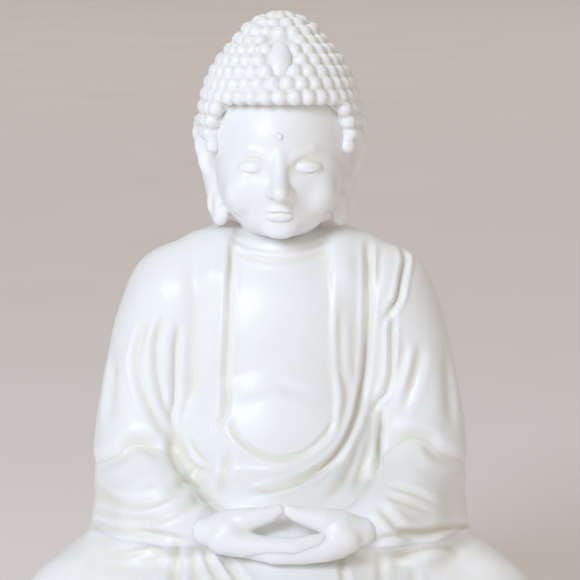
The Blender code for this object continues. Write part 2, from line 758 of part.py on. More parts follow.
def main():
    clear_scene()
    resin = material("ivory_resin", (0.86, 0.84, 0.77), 0.3)
    make_lap(resin)
    make_trunk(resin)
    make_sleeve("left_sleeve", 1, resin)
    make_sleeve("right_sleeve", -1, resin)
    make_hand("left_hand", 1, 0, resin)
    make_hand("right_hand", -1, 1, resin)
    make_head(resin)
    make_hair_cap(resin)
    make_jewel(resin)
    make_urna(resin)
    brass = material("brass", (0.72, 0.55, 0.25), 0.35, 1.0)
    make_dowel(brass)
    for name, side in (("left", 1), ("right", -1)):
        finish(f"{name}_lap_pin", torso_pin_shape(side), brass)
        finish(f"{name}_sleeve_pin", sleeve_pin_shape(side), brass)
    make_ballast(material("stone_filler", (0.72, 0.71, 0.68), 0.9))
    make_base_plate(material("greyboard", (0.50, 0.46, 0.40), 0.9))
    make_felt_pad(material("felt", (0.10, 0.22, 0.13), 1.0))


main()
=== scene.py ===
import math
from collections import namedtuple

import bpy
import numpy as np
from mathutils import Matrix, Vector
from mathutils.bvhtree import BVHTree
from mathutils.kdtree import KDTree


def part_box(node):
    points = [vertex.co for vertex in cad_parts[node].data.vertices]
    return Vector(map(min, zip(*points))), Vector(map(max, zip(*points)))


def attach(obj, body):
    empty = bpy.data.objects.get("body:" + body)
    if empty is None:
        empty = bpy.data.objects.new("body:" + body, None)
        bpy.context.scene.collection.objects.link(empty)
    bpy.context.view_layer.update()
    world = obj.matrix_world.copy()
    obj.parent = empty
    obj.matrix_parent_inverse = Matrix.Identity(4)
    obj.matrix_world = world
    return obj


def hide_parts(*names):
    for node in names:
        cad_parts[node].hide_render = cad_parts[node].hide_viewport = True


# A small seated Buddha in ivory-coloured resin. The castings are modelled here in millimetres, in
# the frame's own axes: +Z up, the figure facing -Y, its right side at -X. Each is brought to metres
# at the end. The felt, board, filler and brass pieces are the frame's own, with their finish.

MM = 0.001
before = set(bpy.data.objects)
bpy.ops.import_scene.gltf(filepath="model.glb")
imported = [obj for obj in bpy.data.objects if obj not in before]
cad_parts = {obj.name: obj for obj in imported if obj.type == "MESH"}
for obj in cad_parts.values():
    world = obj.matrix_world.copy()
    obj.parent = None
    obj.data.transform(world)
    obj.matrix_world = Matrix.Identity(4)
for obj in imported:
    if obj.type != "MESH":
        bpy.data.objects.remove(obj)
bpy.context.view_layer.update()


def box_mm(node):
    low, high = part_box(node)
    return low / MM, high / MM


HAIR_LOW, HAIR_HIGH = box_mm("hair_cap")
JEWEL_LOW, JEWEL_HIGH = box_mm("hair_jewel")
URNA_LOW, URNA_HIGH = box_mm("urna_bead")
SEAT = box_mm("lap")[0].z  # underside of the lap casting
NECK_FOOT = box_mm("head")[0].z
CHIN = NECK_FOOT + 0.55  # the chin hangs just clear of the neck's foot
HEAD_Y = (HAIR_LOW.y + HAIR_HIGH.y) / 2
CROWN_TOP = HAIR_HIGH.z

# Where the camera stands. The folds on the front are laid out as seen from there.
AIM = Vector((1.33, 0.0, 54.0))
CAMERA_DISTANCE = 400.0
CAMERA_RISE = math.radians(8.0)  # the camera looks down by this much
VIEW_WIDTH = 77.3  # what it takes in from side to side, at the figure
UP_SHIFT = AIM.z * math.cos(CAMERA_RISE)  # height of the aim, as seen from the camera

REBATE_RIM = 1.6  # wall round the base plate, on the underside
FOOT_RIM = REBATE_RIM + 0.1  # the lap's foot, out from the base plate
LEG_RIM = 3.6  # and how far out it has grown where it meets the legs
FOOT_HEIGHT = 6.5
SPARE_CLAY = 4.0  # clay below the seat, which the level cut takes off

# Size of the mesh, from the first rough clay to the finished castings
ROUGH_ROBE_GRAIN = 0.8
RESIN_GRAIN = 0.30  # on the robe
ROUGH_HEAD_GRAIN = 0.45
RIDGE_GRAIN = 0.24  # on the head once its brow and nose are laid on
FINE_GRAIN = 0.17  # on the head and the hands
HAIR_GRAIN = 0.19
CREASE_ANGLE = math.radians(50)  # an edge sharper than this stays crisp


# ------------------------------------------------------------------------------------ workshop


def put_down():
    """Nothing selected, and no edit mode."""
    if bpy.context.object and bpy.context.object.mode != "OBJECT":
        bpy.ops.object.mode_set(mode="OBJECT")
    bpy.ops.object.select_all(action="DESELECT")


def pick(*objects):
    put_down()
    for each in objects:
        each.select_set(True)
    bpy.context.view_layer.objects.active = objects[0]
    return objects[0]


def ball(middle, half_sizes, turn=(0.0, 0.0, 0.0), segments=40, rings=20):
    put_down()
    bpy.ops.mesh.primitive_uv_sphere_add(
        segments=segments,
        ring_count=rings,
        radius=1.0,
        location=middle,
        rotation=[math.radians(angle) for angle in turn],
        scale=half_sizes if isinstance(half_sizes, (tuple, list, Vector)) else (half_sizes,) * 3,
    )
    bpy.ops.object.transform_apply(location=True, rotation=True, scale=True)
    return bpy.context.object


def bar(low, high, low_radius, high_radius):
    """A tapered round bar between two places."""
    low, high = Vector(low), Vector(high)
    along = high - low
    put_down()
    bpy.ops.mesh.primitive_cone_add(
        vertices=28,
        radius1=low_radius,
        radius2=high_radius,
        depth=along.length,
        location=(low + high) / 2,
        rotation=along.to_track_quat("Z", "Y").to_euler(),
    )
    bpy.ops.object.transform_apply(location=True, rotation=True, scale=True)
    return bpy.context.object


def limb(places, radii):
    """Clay rolled along a line: balls joined by tapered bars."""
    lumps = [ball(place, radius, segments=28, rings=14) for place, radius in zip(places, radii)]
    for i in range(len(places) - 1):
        lumps.append(bar(places[i], places[i + 1], radii[i], radii[i + 1]))
    return lumps


def both_sides(make, *args):
    """Makes something on the figure's left side, at +X, and again on its right."""
    return [lump for side in (1, -1) for lump in make(side, *args)]


def apply_modifier(piece, kind, **settings):
    pick(piece)
    modifier = piece.modifiers.new(kind.lower(), kind)
    for setting, value in settings.items():
        setattr(modifier, setting, value)
    bpy.ops.object.modifier_apply(modifier=modifier.name)


def melt(name, lumps, grain, smoothing=0):
    """The lumps run together into one closed skin, with mesh of the given grain."""
    pick(*lumps)
    if len(lumps) > 1:
        bpy.ops.object.join()
    piece = bpy.context.object
    piece.name = piece.data.name = name
    apply_modifier(piece, "REMESH", mode="VOXEL", voxel_size=grain, adaptivity=0.0)
    if smoothing:
        apply_modifier(piece, "SMOOTH", factor=0.5, iterations=smoothing)
    return piece


def carve(piece, *cutters, keep=False):
    for cutter in cutters:
        apply_modifier(piece, "BOOLEAN", operation="DIFFERENCE", solver="MANIFOLD", object=cutter)
    for cutter in cutters:
        if not keep:
            bpy.data.objects.remove(cutter)
    return piece


def copy_of(piece, name):
    put_down()
    twin = piece.copy()
    twin.data = piece.data.copy()
    twin.name = twin.data.name = name
    bpy.context.scene.collection.objects.link(twin)
    return twin


def points_of(piece):
    co = np.empty(len(piece.data.vertices) * 3)
    piece.data.vertices.foreach_get("co", co)
    return co.reshape(-1, 3)


def normals_of(piece):
    normals = np.empty(len(piece.data.vertices) * 3)
    piece.data.vertices.foreach_get("normal", normals)
    return normals.reshape(-1, 3)


def set_points(piece, co):
    piece.data.vertices.foreach_set("co", co.ravel())
    piece.data.update()


def edges_of(piece):
    ends = np.empty(len(piece.data.edges) * 2, dtype=np.int64)
    piece.data.edges.foreach_get("vertices", ends)
    return ends.reshape(-1, 2)


def evened(values, ends, rounds):
    """Each point's value, averaged with its neighbours' several times over."""
    count = len(values)
    near = np.bincount(ends.ravel(), minlength=count).clip(1)
    for _ in range(rounds):
        total = np.stack(
            [
                np.bincount(ends[:, 0], values[ends[:, 1], k], count)
                + np.bincount(ends[:, 1], values[ends[:, 0], k], count)
                for k in range(values.shape[1])
            ],
            axis=1,
        )
        values = 0.5 * values + 0.5 * total / near[:, None]
    return values


def mark_hollows(piece, rounds=(8, 50), full=(0.10, 0.8)):
    """Keeps, on each point, how far it lies down in a fine crease or a broad hollow."""
    co, normals, ends = points_of(piece), normals_of(piece), edges_of(piece)
    depth = np.zeros(len(co))
    for steps, deepest in zip(rounds, full):
        sunk = ((evened(co, ends, steps) - co) * normals).sum(axis=1) / deepest
        depth += sunk.clip(0, 1)
    depth = evened(depth[:, None].clip(0, 1), ends, 2)[:, 0]
    write_hollows(piece, depth)


def write_hollows(piece, depth):
    layer = piece.data.attributes.get("hollow") or piece.data.attributes.new("hollow", "FLOAT", "POINT")
    layer.data.foreach_set("value", np.asarray(depth, np.float32))


def hollow_finder(piece):
    """A function that gives the hollow at the point of a marked piece nearest to a place."""
    places = points_of(piece)
    depth = np.empty(len(places), np.float32)
    piece.data.attributes["hollow"].data.foreach_get("value", depth)
    tree = KDTree(len(places))
    for k, place in enumerate(places):
        tree.insert(place, k)
    tree.balance()
    return lambda place: depth[tree.find(place)[1]]


# ------------------------------------------------------------------------------------ folds

Groove = namedtuple("Groove", "depth width lip route")
Step = namedtuple("Step", "height width reach route")


FOLD_TAPER = 4.0  # how far a fold takes to rise to its full depth from either end


def smooth_ramp(value):
    value = np.clip(value, 0.0, 1.0)
    return value * value * (3 - 2 * value)


def drawn_through(route, spacing=0.35):
    """Places close together on a smooth curve through the route's points."""
    ends = [np.array(point, float) for point in route]
    ends = [2 * ends[0] - ends[1]] + ends + [2 * ends[-1] - ends[-2]]
    drawn = []
    for a, b, c, d in zip(ends, ends[1:], ends[2:], ends[3:]):
        count = max(2, int(np.linalg.norm(c - b) / spacing))
        for t in np.arange(count) / count:
            drawn.append(
                0.5
                * (
                    2 * b
                    + (c - a) * t
                    + (2 * a - 5 * b + 4 * c - d) * t**2
                    + (3 * b - a - 3 * c + d) * t**3
                )
            )
    return np.array(drawn + [ends[-2]])


def beside(places, curve):
    """Each place's distance from a curve, negative on its left, and how far along the curve it is."""
    starts, spans = curve[:-1], np.diff(curve, axis=0)
    lengths = np.linalg.norm(spans, axis=1)
    walked = np.concatenate([[0.0], np.cumsum(lengths)])
    away = places[:, None, :] - starts[None, :, :]
    share = ((away * spans).sum(-1) / (lengths**2)).clip(0, 1)
    off = away - share[..., None] * spans
    distance = np.hypot(off[..., 0], off[..., 1])
    nearest = distance.argmin(axis=1)
    rows = np.arange(len(places))
    side = spans[nearest, 0] * away[rows, nearest, 1] - spans[nearest, 1] * away[rows, nearest, 0]
    along = walked[nearest] + share[rows, nearest] * lengths[nearest]
    return np.where(side >= 0, 1, -1) * distance[rows, nearest], along, walked[-1]


def fold_height(fold, places):
    """How far a fold raises or lowers each place."""
    curve = drawn_through(fold.route)
    reach = 3 * fold.width + 0.5 if isinstance(fold, Groove) else 3 * fold.reach + fold.width
    low, high = curve.min(axis=0) - reach, curve.max(axis=0) + reach
    near = np.nonzero(((places > low) & (places < high)).all(axis=1))[0]
    height = np.zeros(len(places))
    if len(near) == 0:
        return height
    off, along, length = beside(places[near], curve)
    taper = min(FOLD_TAPER, 0.45 * length)
    fade = smooth_ramp(along / taper) * smooth_ramp((length - along) / taper)
    if isinstance(fold, Groove):
        valley = np.exp(-((off / fold.width) ** 2))
        lips = np.exp(-(((np.abs(off) - 1.9 * fold.width) / (0.9 * fold.width)) ** 2))
        height[near] = fade * fold.depth * (fold.lip * lips - valley)
    else:
        on = smooth_ramp(0.5 + off / fold.width) * np.exp(-np.maximum(off, 0) / fold.reach)
        height[near] = fade * fold.height * on * (np.abs(off) < reach)
    return height


def from_front(co):
    """Places as seen from the camera: across and up."""
    depth = co[:, 1] * math.cos(CAMERA_RISE) - (co[:, 2] - AIM.z) * math.sin(CAMERA_RISE)
    scale = CAMERA_DISTANCE / (CAMERA_DISTANCE + depth)
    across = (co[:, 0] - AIM.x) * scale + AIM.x
    up = co[:, 2] * math.cos(CAMERA_RISE) + co[:, 1] * math.sin(CAMERA_RISE)
    return np.stack([across, (up - UP_SHIFT) * scale + UP_SHIFT], axis=1)


def at_front(across, up, y):
    """The place at depth y that is seen from the camera at across and up."""
    z = up
    for _ in range(4):
        depth = y * math.cos(CAMERA_RISE) - (z - AIM.z) * math.sin(CAMERA_RISE)
        scale = CAMERA_DISTANCE / (CAMERA_DISTANCE + depth)
        z = ((up - UP_SHIFT) / scale + UP_SHIFT - y * math.sin(CAMERA_RISE)) / math.cos(CAMERA_RISE)
    return Vector(((across - AIM.x) / scale + AIM.x, y, z))


def from_back(co):
    return np.stack([-co[:, 0], co[:, 2]], axis=1)


def from_side(co):
    return np.stack([co[:, 1], co[:, 2]], axis=1)


LOOKS = {
    "front": (from_front, np.array((0, -math.cos(CAMERA_RISE), math.sin(CAMERA_RISE)))),
    "back": (from_back, np.array((0.0, 1.0, 0.0))),
    "left": (from_side, np.array((1.0, 0.0, 0.0))),
    "right": (from_side, np.array((-1.0, 0.0, 0.0))),
    "face": (lambda co: co[:, [0, 2]], np.array((0.0, -1.0, 0.0))),
}


def press_folds(piece, look, folds, turning=0.35):
    """Presses folds into a skin where it faces the look. They fade out where it turns away."""
    places_from, towards = LOOKS[look]
    co, normals = points_of(piece), normals_of(piece)
    facing = smooth_ramp((normals @ towards - 0.02) / turning)
    shown = np.nonzero(facing > 0)[0]
    places = places_from(co[shown])
    height = np.zeros(len(shown))
    for fold in folds:
        height += fold_height(fold, places)
    co[shown] += normals[shown] * (height * facing[shown])[:, None]
    set_points(piece, co)


# ------------------------------------------------------------------------------------ robe


def arm_clay(side):
    upper = limb(
        [
            (side * 9.4, 7.5, 55.3),
            (side * 13.1, 7.6, 51.6),
            (side * 15.0, 7.6, 46.5),
            (side * 16.9, 6.8, 38.0),
            (side * 18.1, 5.6, 31.5),
            (side * 18.2, 3.8, 27.5),
        ],
        [6.3, 8.1, 8.0, 7.7, 7.4, 7.2],
    )
    fore = limb(
        [
            (side * 18.0, 1.5, 27.0),
            (side * 16.4, -5.5, 25.6),
            (side * 13.0, -10.6, 24.4),
            (side * 10.2, -12.4, 24.2),
        ],
        [6.6, 5.7, 4.5, 3.0],
    )
    hang = limb(
        [(side * 19.2, 5.0, 24.0), (side * 19.6, 0.0, 22.0), (side * 18.0, -7.0, 20.8)],
        [6.2, 6.0, 4.6],
    )
    return upper + fore + hang


def leg_clay(side):
    thigh = limb(
        [(side * 13.0, 11.5, 12.5), (side * 21.0, 2.0, 11.9), (side * 25.8, -6.5, 10.6)],
        [11.0, 10.2, 9.2],
    )
    shin = limb(
        [(side * 25.0, -9.0, 9.6), (side * 9.0, -13.6, 10.4), (side * -5.0, -14.0, 10.0)],
        [8.8, 8.9, 8.6],
    )
    return thigh + shin


def base_clay():
    """The foot of the lap: the underside's outline, carried up and widened to the legs."""
    foot = frame_shape("base_plate", room=0.0)
    co = points_of(foot)
    half = co.max(axis=0)
    top = co[:, 2] > co[:, 2].mean()
    widen = np.where(top, LEG_RIM, FOOT_RIM)
    co[:, 0] *= 1 + widen / half[0]
    co[:, 1] *= 1 + widen / half[1]
    co[:, 2] = np.where(top, SEAT + FOOT_HEIGHT, SEAT - SPARE_CLAY)
    set_points(foot, co)
    return foot


def collar_clay(side):
    """The robe where it lies over the shoulder, close beside the neck."""
    return limb(
        [
            (side * 8.8, 1.4, 44.0),
            (side * 8.7, 0.9, 50.0),
            (side * 8.6, 1.4, 55.4),
            (side * 8.0, 4.8, 59.3),
            (side * 7.2, 10.5, 60.0),
        ],
        [1.2, 1.6, 2.0, 2.4, 2.6],
    )


def make_robe():
    """Robe, arms and legs as one skin, with all its folds, before it is divided into castings."""
    lumps = [
        ball((0, 7.2, 45.5), (15.5, 10.6, 16.0)),
        ball((0, 4.6, 33.0), (14.5, 11.4, 14.0)),
        ball((0, 9.5, 30.0), (19.0, 10.5, 17.0)),
        ball((0, 8.0, 11.0), (24.0, 15.0, 10.0)),
        ball((0, -8.0, 10.0), (22.0, 13.0, 9.0)),
        ball((0, 8.0, 57.5), (10.0, 7.4, 4.6)),
        ball((0, -11.0, 12.9), (21.0, 11.8, 8.1)),
        ball((0, -8.8, 21.0), (8.5, 7.0, 5.0)),
        ball((0, -4.0, 24.0), (12.8, 7.6, 7.6)),
        bar((0, 7.0, 52.0), (0, 6.8, 60.3), 8.0, 6.4),
        base_clay(),
    ]
    lumps += both_sides(arm_clay) + both_sides(leg_clay) + both_sides(collar_clay)
    robe = melt("robe", lumps, ROUGH_ROBE_GRAIN, smoothing=12)
    robe = melt("robe", [robe], RESIN_GRAIN, smoothing=10)
    press_folds(robe, "front", FRONT_FOLDS)
    press_folds(robe, "back", BACK_FOLDS)
    for look in ("left", "right"):
        press_folds(robe, look, SIDE_FOLDS)
    apply_modifier(robe, "SMOOTH", factor=0.35, iterations=2)
    cut_at(robe, SEAT, keep_above=True)
    return robe


def cut_at(piece, z, keep_above):
    """Cuts a piece level at a height, and closes the cut."""
    pick(piece)
    bpy.ops.object.mode_set(mode="EDIT")
    bpy.ops.mesh.select_all(action="SELECT")
    bpy.ops.mesh.bisect(
        plane_co=(0, 0, z),
        plane_no=(0, 0, 1),
        use_fill=True,
        clear_inner=keep_above,
        clear_outer=not keep_above,
    )
    bpy.ops.object.mode_set(mode="OBJECT")
    return piece


WAIST = 22.2  # height of the level joint between lap and torso
SLEEVE_BACK = 2.0  # how far back the sleeve castings reach
BLOCK_FRONT = -40.0  # well clear of the knees
# Outline of each sleeve casting as seen from the front, across from the middle and up; the joint
# follows the folds at the elbow
SLEEVE_OUTLINE = {
    -1: [
        (27, 17), (7.4, 17), (7.4, 24.3), (8.6, 25), (10.8, 27), (12.5, 29), (13.6, 31), (15.6, 31.8),
        (17.2, 32.6), (19, 33), (20.4, 32.6), (21.5, 31.4), (27, 29.5),
    ],
    1: [
        (27, 17), (8.0, 17), (8.0, 24.0), (10, 25), (11.5, 27.2), (12.6, 29), (13.6, 31), (15, 32.5),
        (16.3, 33.4), (18, 33.8), (19.6, 33.4), (21.2, 31.7), (27, 29.5),
    ],
}


def wall_block(side, outline):
    """A block with an outline drawn from the front, from before the figure back to the sleeve's end."""
    put_down()
    bpy.ops.mesh.primitive_circle_add(vertices=len(outline), radius=1.0, fill_type="NGON")
    block = bpy.context.object
    set_points(block, np.array([at_front(side * across, up, BLOCK_FRONT) for across, up in outline]))
    bpy.ops.object.mode_set(mode="EDIT")
    bpy.ops.mesh.select_all(action="SELECT")
    bpy.ops.mesh.extrude_region_move()
    bpy.ops.object.mode_set(mode="OBJECT")
    co = points_of(block)
    count = len(outline)
    co[count:] = [at_front(side * across, up, SLEEVE_BACK) for across, up in outline]
    set_points(block, co)
    bpy.ops.object.mode_set(mode="EDIT")
    bpy.ops.mesh.select_all(action="SELECT")
    bpy.ops.mesh.quads_convert_to_tris()
    bpy.ops.mesh.normals_make_consistent(inside=False)
    bpy.ops.object.mode_set(mode="OBJECT")
    return block


def part_with(robe, side):
    """Takes the forearm in its sleeve off the robe, and returns it."""
    sleeve = copy_of(robe, "left_sleeve_casting" if side > 0 else "right_sleeve_casting")
    block = wall_block(side, SLEEVE_OUTLINE[side])
    apply_modifier(sleeve, "BOOLEAN", operation="INTERSECT", solver="MANIFOLD", object=block)
    carve(robe, block)
    return sleeve


PLATE_ROOM = np.array((0.3, 0.3, 0.3))
BALLAST_ROOM = np.array((0.5, 0.5, 0.6))


def frame_shape(node, room):
    """A copy of a frame piece in millimetres, grown by the room it needs round it."""
    shape = copy_of(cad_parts[node], node + "_room")
    pick(shape)
    shape.scale = (1 / MM,) * 3
    bpy.ops.object.transform_apply(location=True, rotation=True, scale=True)
    bpy.ops.object.mode_set(mode="EDIT")
    bpy.ops.mesh.select_all(action="SELECT")
    bpy.ops.mesh.remove_doubles(threshold=0.001)
    bpy.ops.object.mode_set(mode="OBJECT")
    co = points_of(shape)
    middle = (co.max(axis=0) + co.min(axis=0)) / 2
    half = (co.max(axis=0) - co.min(axis=0)) / 2
    set_points(shape, middle + (co - middle) * (half + room) / half)
    return shape


def divide_robe(robe):
    """The castings the robe is made of: lap, torso and the two sleeves."""
    mark_hollows(robe)
    hollow_at = hollow_finder(robe)
    lap = cut_at(copy_of(robe, "lap_casting"), WAIST, keep_above=False)
    torso = cut_at(robe, WAIST, keep_above=True)
    torso.name = torso.data.name = "torso_casting"
    sleeves = [part_with(torso, side) for side in (1, -1)]
    for casting in (lap, torso, *sleeves):
        write_hollows(casting, [hollow_at(place) for place in points_of(casting)])
    carve(lap, frame_shape("base_plate", PLATE_ROOM))
    carve(lap, frame_shape("ballast_block", BALLAST_ROOM))
    return lap, torso, *sleeves


FRONT_FOLDS = [
    # lapel on the figure's right, over the bare chest
    Groove(0.95, 0.42, 0.15, [
        (-6.4, 61.5), (-6.6, 56), (-6.7, 52), (-7.0, 46), (-7.2, 42), (-7.2, 38.5), (-7.6, 36.5),
        (-9.0, 33.5),
    ]),
    Step(0.8, 0.7, 3.0, [
        (-8.2, 34.5), (-7.3, 37.0), (-6.9, 42), (-6.7, 46), (-6.4, 52), (-6.3, 56), (-6.1, 63),
    ]),
    Groove(0.16, 0.9, 0.3, [(-11.6, 58), (-11.5, 50), (-11.3, 42), (-11.2, 34)]),
    # round edge of the inner robe under the belly
    Groove(0.35, 0.4, 0.3, [
        (-7.0, 37.5), (-6.4, 35.2), (-5.2, 33.4), (-2.4, 31.4), (0.6, 31.0), (2.8, 31.5), (5.0, 33.0),
        (6.7, 35), (7.4, 38),
    ]),
    Step(0.6, 0.6, 2.2, [
        (7.6, 38), (6.9, 35), (5.2, 32.9), (2.9, 31.3), (0.6, 30.8), (-2.4, 31.2), (-5.3, 33.2),
        (-6.6, 35.2), (-7.2, 37.5),
    ]),
    # sleeve on the figure's right
    Groove(0.65, 0.55, 0.25, [
        (-17.6, 50.5), (-18.3, 48.1), (-19.1, 45.5), (-19.2, 43.5), (-18.7, 40.8), (-17.3, 37.5),
        (-15.3, 34.5), (-14.2, 33),
    ]),
    Groove(0.6, 0.5, 0.25, [
        (-15.4, 51.0), (-16, 48.8), (-16.5, 46.1), (-16.4, 42.1), (-15.6, 38.8), (-14.7, 36.5),
        (-14.2, 34.5),
    ]),
    Groove(0.7, 0.5, 0.2, [
        (-13.4, 50.0), (-13.7, 47.5), (-13.9, 44.1), (-14, 40.1), (-14.3, 36.8), (-14.4, 34),
    ]),
    Groove(1.1, 0.9, 0.15, [
        (-14.3, 36), (-14.2, 33.5), (-13.6, 31), (-12.5, 29), (-10.8, 27), (-8.6, 25), (-7.6, 24.3),
    ]),
    Groove(0.4, 0.45, 0.4, [(-13.2, 34.5), (-12.6, 31.5), (-11.2, 29.8), (-9.5, 29.4), (-8.5, 30.6)]),
    Groove(0.3, 0.4, 0.4, [(-12.2, 35), (-11.7, 32.6), (-10.7, 31.2), (-9.6, 30.8), (-8.9, 31.8)]),
    Groove(0.6, 0.55, 0.3, [(-6.6, 32.6), (-7.4, 29.5), (-8.0, 26.8), (-8.4, 25.2)]),
    Groove(0.8, 0.9, 0.35, [
        (-25.8, 29.8), (-21.5, 31.4), (-20.4, 32.6), (-19, 33), (-17.2, 32.6), (-15.6, 31.8), (-14.2, 31),
    ]),
    Groove(0.6, 0.55, 0.35, [(-32, 22.2), (-24, 22.1), (-20, 21.4), (-16, 20.7), (-11, 19.8)]),
    # forearm of the same sleeve
    Groove(0.6, 0.7, 0.5, [
        (-26.5, 28.2), (-22.5, 25.4), (-18.4, 25.0), (-15.0, 26.2), (-12.0, 28.6), (-10.4, 30.4),
    ]),
    Groove(0.5, 0.6, 0.5, [
        (-26.5, 25.0), (-22.4, 23.4), (-18.2, 22.8), (-14.6, 23.6), (-11.0, 25.2), (-8.4, 27.0),
    ]),
    # robe edge on the figure's left, and the folds beside it
    Step(0.55, 1.0, 3.2, [
        (6.9, 62), (6.9, 55), (6.9, 50), (7.1, 45), (7.3, 40), (7.3, 37.5), (6.6, 34.5),
    ]),
    Groove(0.28, 0.55, 0.4, [
        (7.9, 52), (7.9, 46), (8.0, 43), (8.8, 39.6), (8.6, 37.3), (7.6, 34.9), (6.5, 33.9),
    ]),
    Groove(0.95, 0.5, 0.3, [
        (11.7, 60.7), (11.8, 53), (11.6, 46.8), (11.2, 42.3), (10.7, 39.6), (10.0, 36.4), (8.6, 33.1),
        (6.6, 30.6), (4.1, 28.8), (1.2, 27.6), (-2, 27), (-4.6, 27.1),
    ]),
    Groove(0.4, 0.7, 0.4, [(11.1, 35.7), (10.2, 32.1), (9.0, 28.7), (6.8, 26.2), (4.6, 25.2)]),
    Groove(0.45, 0.5, 0.4, [(12, 34.7), (11.5, 31.7), (10.2, 27.3), (9.8, 25.8)]),
    Groove(0.4, 0.4, 0.1, [(13.3, 59.8), (13.1, 55.7), (12.5, 52.2), (12.3, 49.3), (12.7, 47)]),
    # edges of the robe end hanging from the shoulder
    Groove(0.9, 0.4, 0.3, [
        (15.4, 60.4), (16.4, 59.0), (16.7, 57.6), (16.3, 55.2), (15.8, 52.5), (15.2, 51.4), (14, 49.6),
        (13.2, 48.6),
    ]),
    Groove(0.9, 0.4, 0.3, [
        (15.3, 51.2), (15, 49.3), (14.9, 46.8), (14.9, 44.1), (14.7, 42), (14, 39.8), (12.9, 38.4),
        (12.3, 37.3), (12.1, 36.4),
    ]),
    Groove(1.0, 0.45, 0.2, [
        (13.6, 38.8), (13.5, 35), (13.3, 32.5), (13.2, 30.8), (12.6, 29), (11.5, 27.2), (10, 25),
    ]),
    Groove(0.5, 0.6, 0.35, [(16.8, 47.3), (16.4, 45), (15.7, 42.3), (15, 39.8), (14.3, 37.5)]),
    Groove(0.45, 0.7, 0.35, [(19, 47.2), (18.6, 44.5), (17.8, 41.4), (16.6, 38.2), (15.7, 36.5)]),
    Groove(0.7, 0.9, 0.35, [
        (14.2, 31.6), (15, 32.5), (16.3, 33.4), (18, 33.8), (19.6, 33.4), (21.2, 31.7), (26.2, 29.6),
    ]),
    Groove(0.35, 0.45, 0.4, [(13, 27.8), (16.3, 27), (19.4, 25.8), (22, 24.2)]),
    Groove(0.35, 0.4, 0.4, [(13, 26.8), (15.5, 25.6), (18.4, 24.6), (21.4, 23.4)]),
    Groove(0.7, 0.6, 0.3, [
        (12.2, 25.6), (14.3, 23.5), (16.7, 21.3), (19.6, 21.1), (22, 21.9), (23.4, 22.6),
    ]),
    Groove(0.6, 0.55, 0.35, [(11, 19.8), (16, 20.7), (20, 21.4), (24, 22.1), (32, 22.2)]),
    # lap
    Groove(1.0, 0.7, 0.2, [(-13.7, 20.8), (-14.0, 14.8), (-14.6, 8)]),
    Groove(0.6, 0.6, 0.3, [(-11.6, 20.1), (-11.1, 14.8), (-10.6, 8)]),
    Groove(0.7, 0.55, 0.35, [(-11.4, 20.4), (-10, 18.4), (-8, 14.8), (-5.5, 10)]),
    Groove(0.6, 0.55, 0.35, [(-9.6, 20.6), (-8.3, 18.8), (-5.3, 14.8), (-2.5, 11.5)]),
    Groove(0.5, 0.5, 0.35, [(6.8, 19.6), (8.0, 17.2), (8.6, 14.8), (8.4, 10.5)]),
    Groove(0.5, 0.6, 0.3, [(17.9, 17.4), (17.9, 14.8), (18.5, 8)]),
    Groove(0.45, 0.6, 0.3, [(13, 19.6), (13.5, 14.8), (12.5, 8)]),
    Groove(0.5, 0.5, 0.5, [(13.2, 18.4), (17.0, 18.2), (20.2, 18.9), (22.8, 19.1), (24.4, 17.6)]),
    Groove(0.4, 0.5, 0.5, [(-24.6, 18.6), (-21.0, 18.2), (-17.4, 18.9), (-14.6, 18.2)]),
    # crossed legs under the robe, and the cloth fanned out between them
    Groove(0.9, 1.1, 0.4, [(-31, 8.5), (-24, 5.6), (-14, 4.2), (-3, 4.6), (8, 6.6), (19, 10.0)]),
    Groove(0.7, 1.0, 0.4, [(31, 8.5), (25, 5.0), (16, 2.4), (5, 1.6)]),
    Groove(0.45, 0.7, 0.35, [(-25, 11.5), (-17, 9.6), (-8, 9.2)]),
    Groove(0.45, 0.7, 0.35, [(27, 12.5), (21, 9.0), (12, 6.0)]),
    Groove(0.5, 0.6, 0.35, [(-6, 3.0), (-7.5, 0.5), (-9, -2.0)]),
    Groove(0.5, 0.6, 0.35, [(-1.5, 3.2), (-1.8, 0.6), (-2.2, -2.0)]),
    Groove(0.5, 0.6, 0.35, [(3.5, 3.0), (4.2, 0.4), (5.0, -2.0)]),
    # chest and neck
    Groove(0.18, 0.9, 0.3, [
        (-6.5, 39.2), (-3.4, 39.9), (-0.6, 41.2), (1.2, 40.4), (4.0, 39.6), (6.4, 39.8),
    ]),
    Groove(0.2, 0.35, 0.3, [
        (-8.0, 61.2), (-4.6, 59.5), (-1.5, 58.9), (1.5, 58.8), (4.6, 59.4), (8.0, 61.0),
    ]),
    Groove(0.2, 0.35, 0.3, [
        (-8.0, 59.8), (-4.6, 58.1), (-1.5, 57.4), (1.5, 57.3), (4.6, 58.0), (8.0, 59.6),
    ]),
]

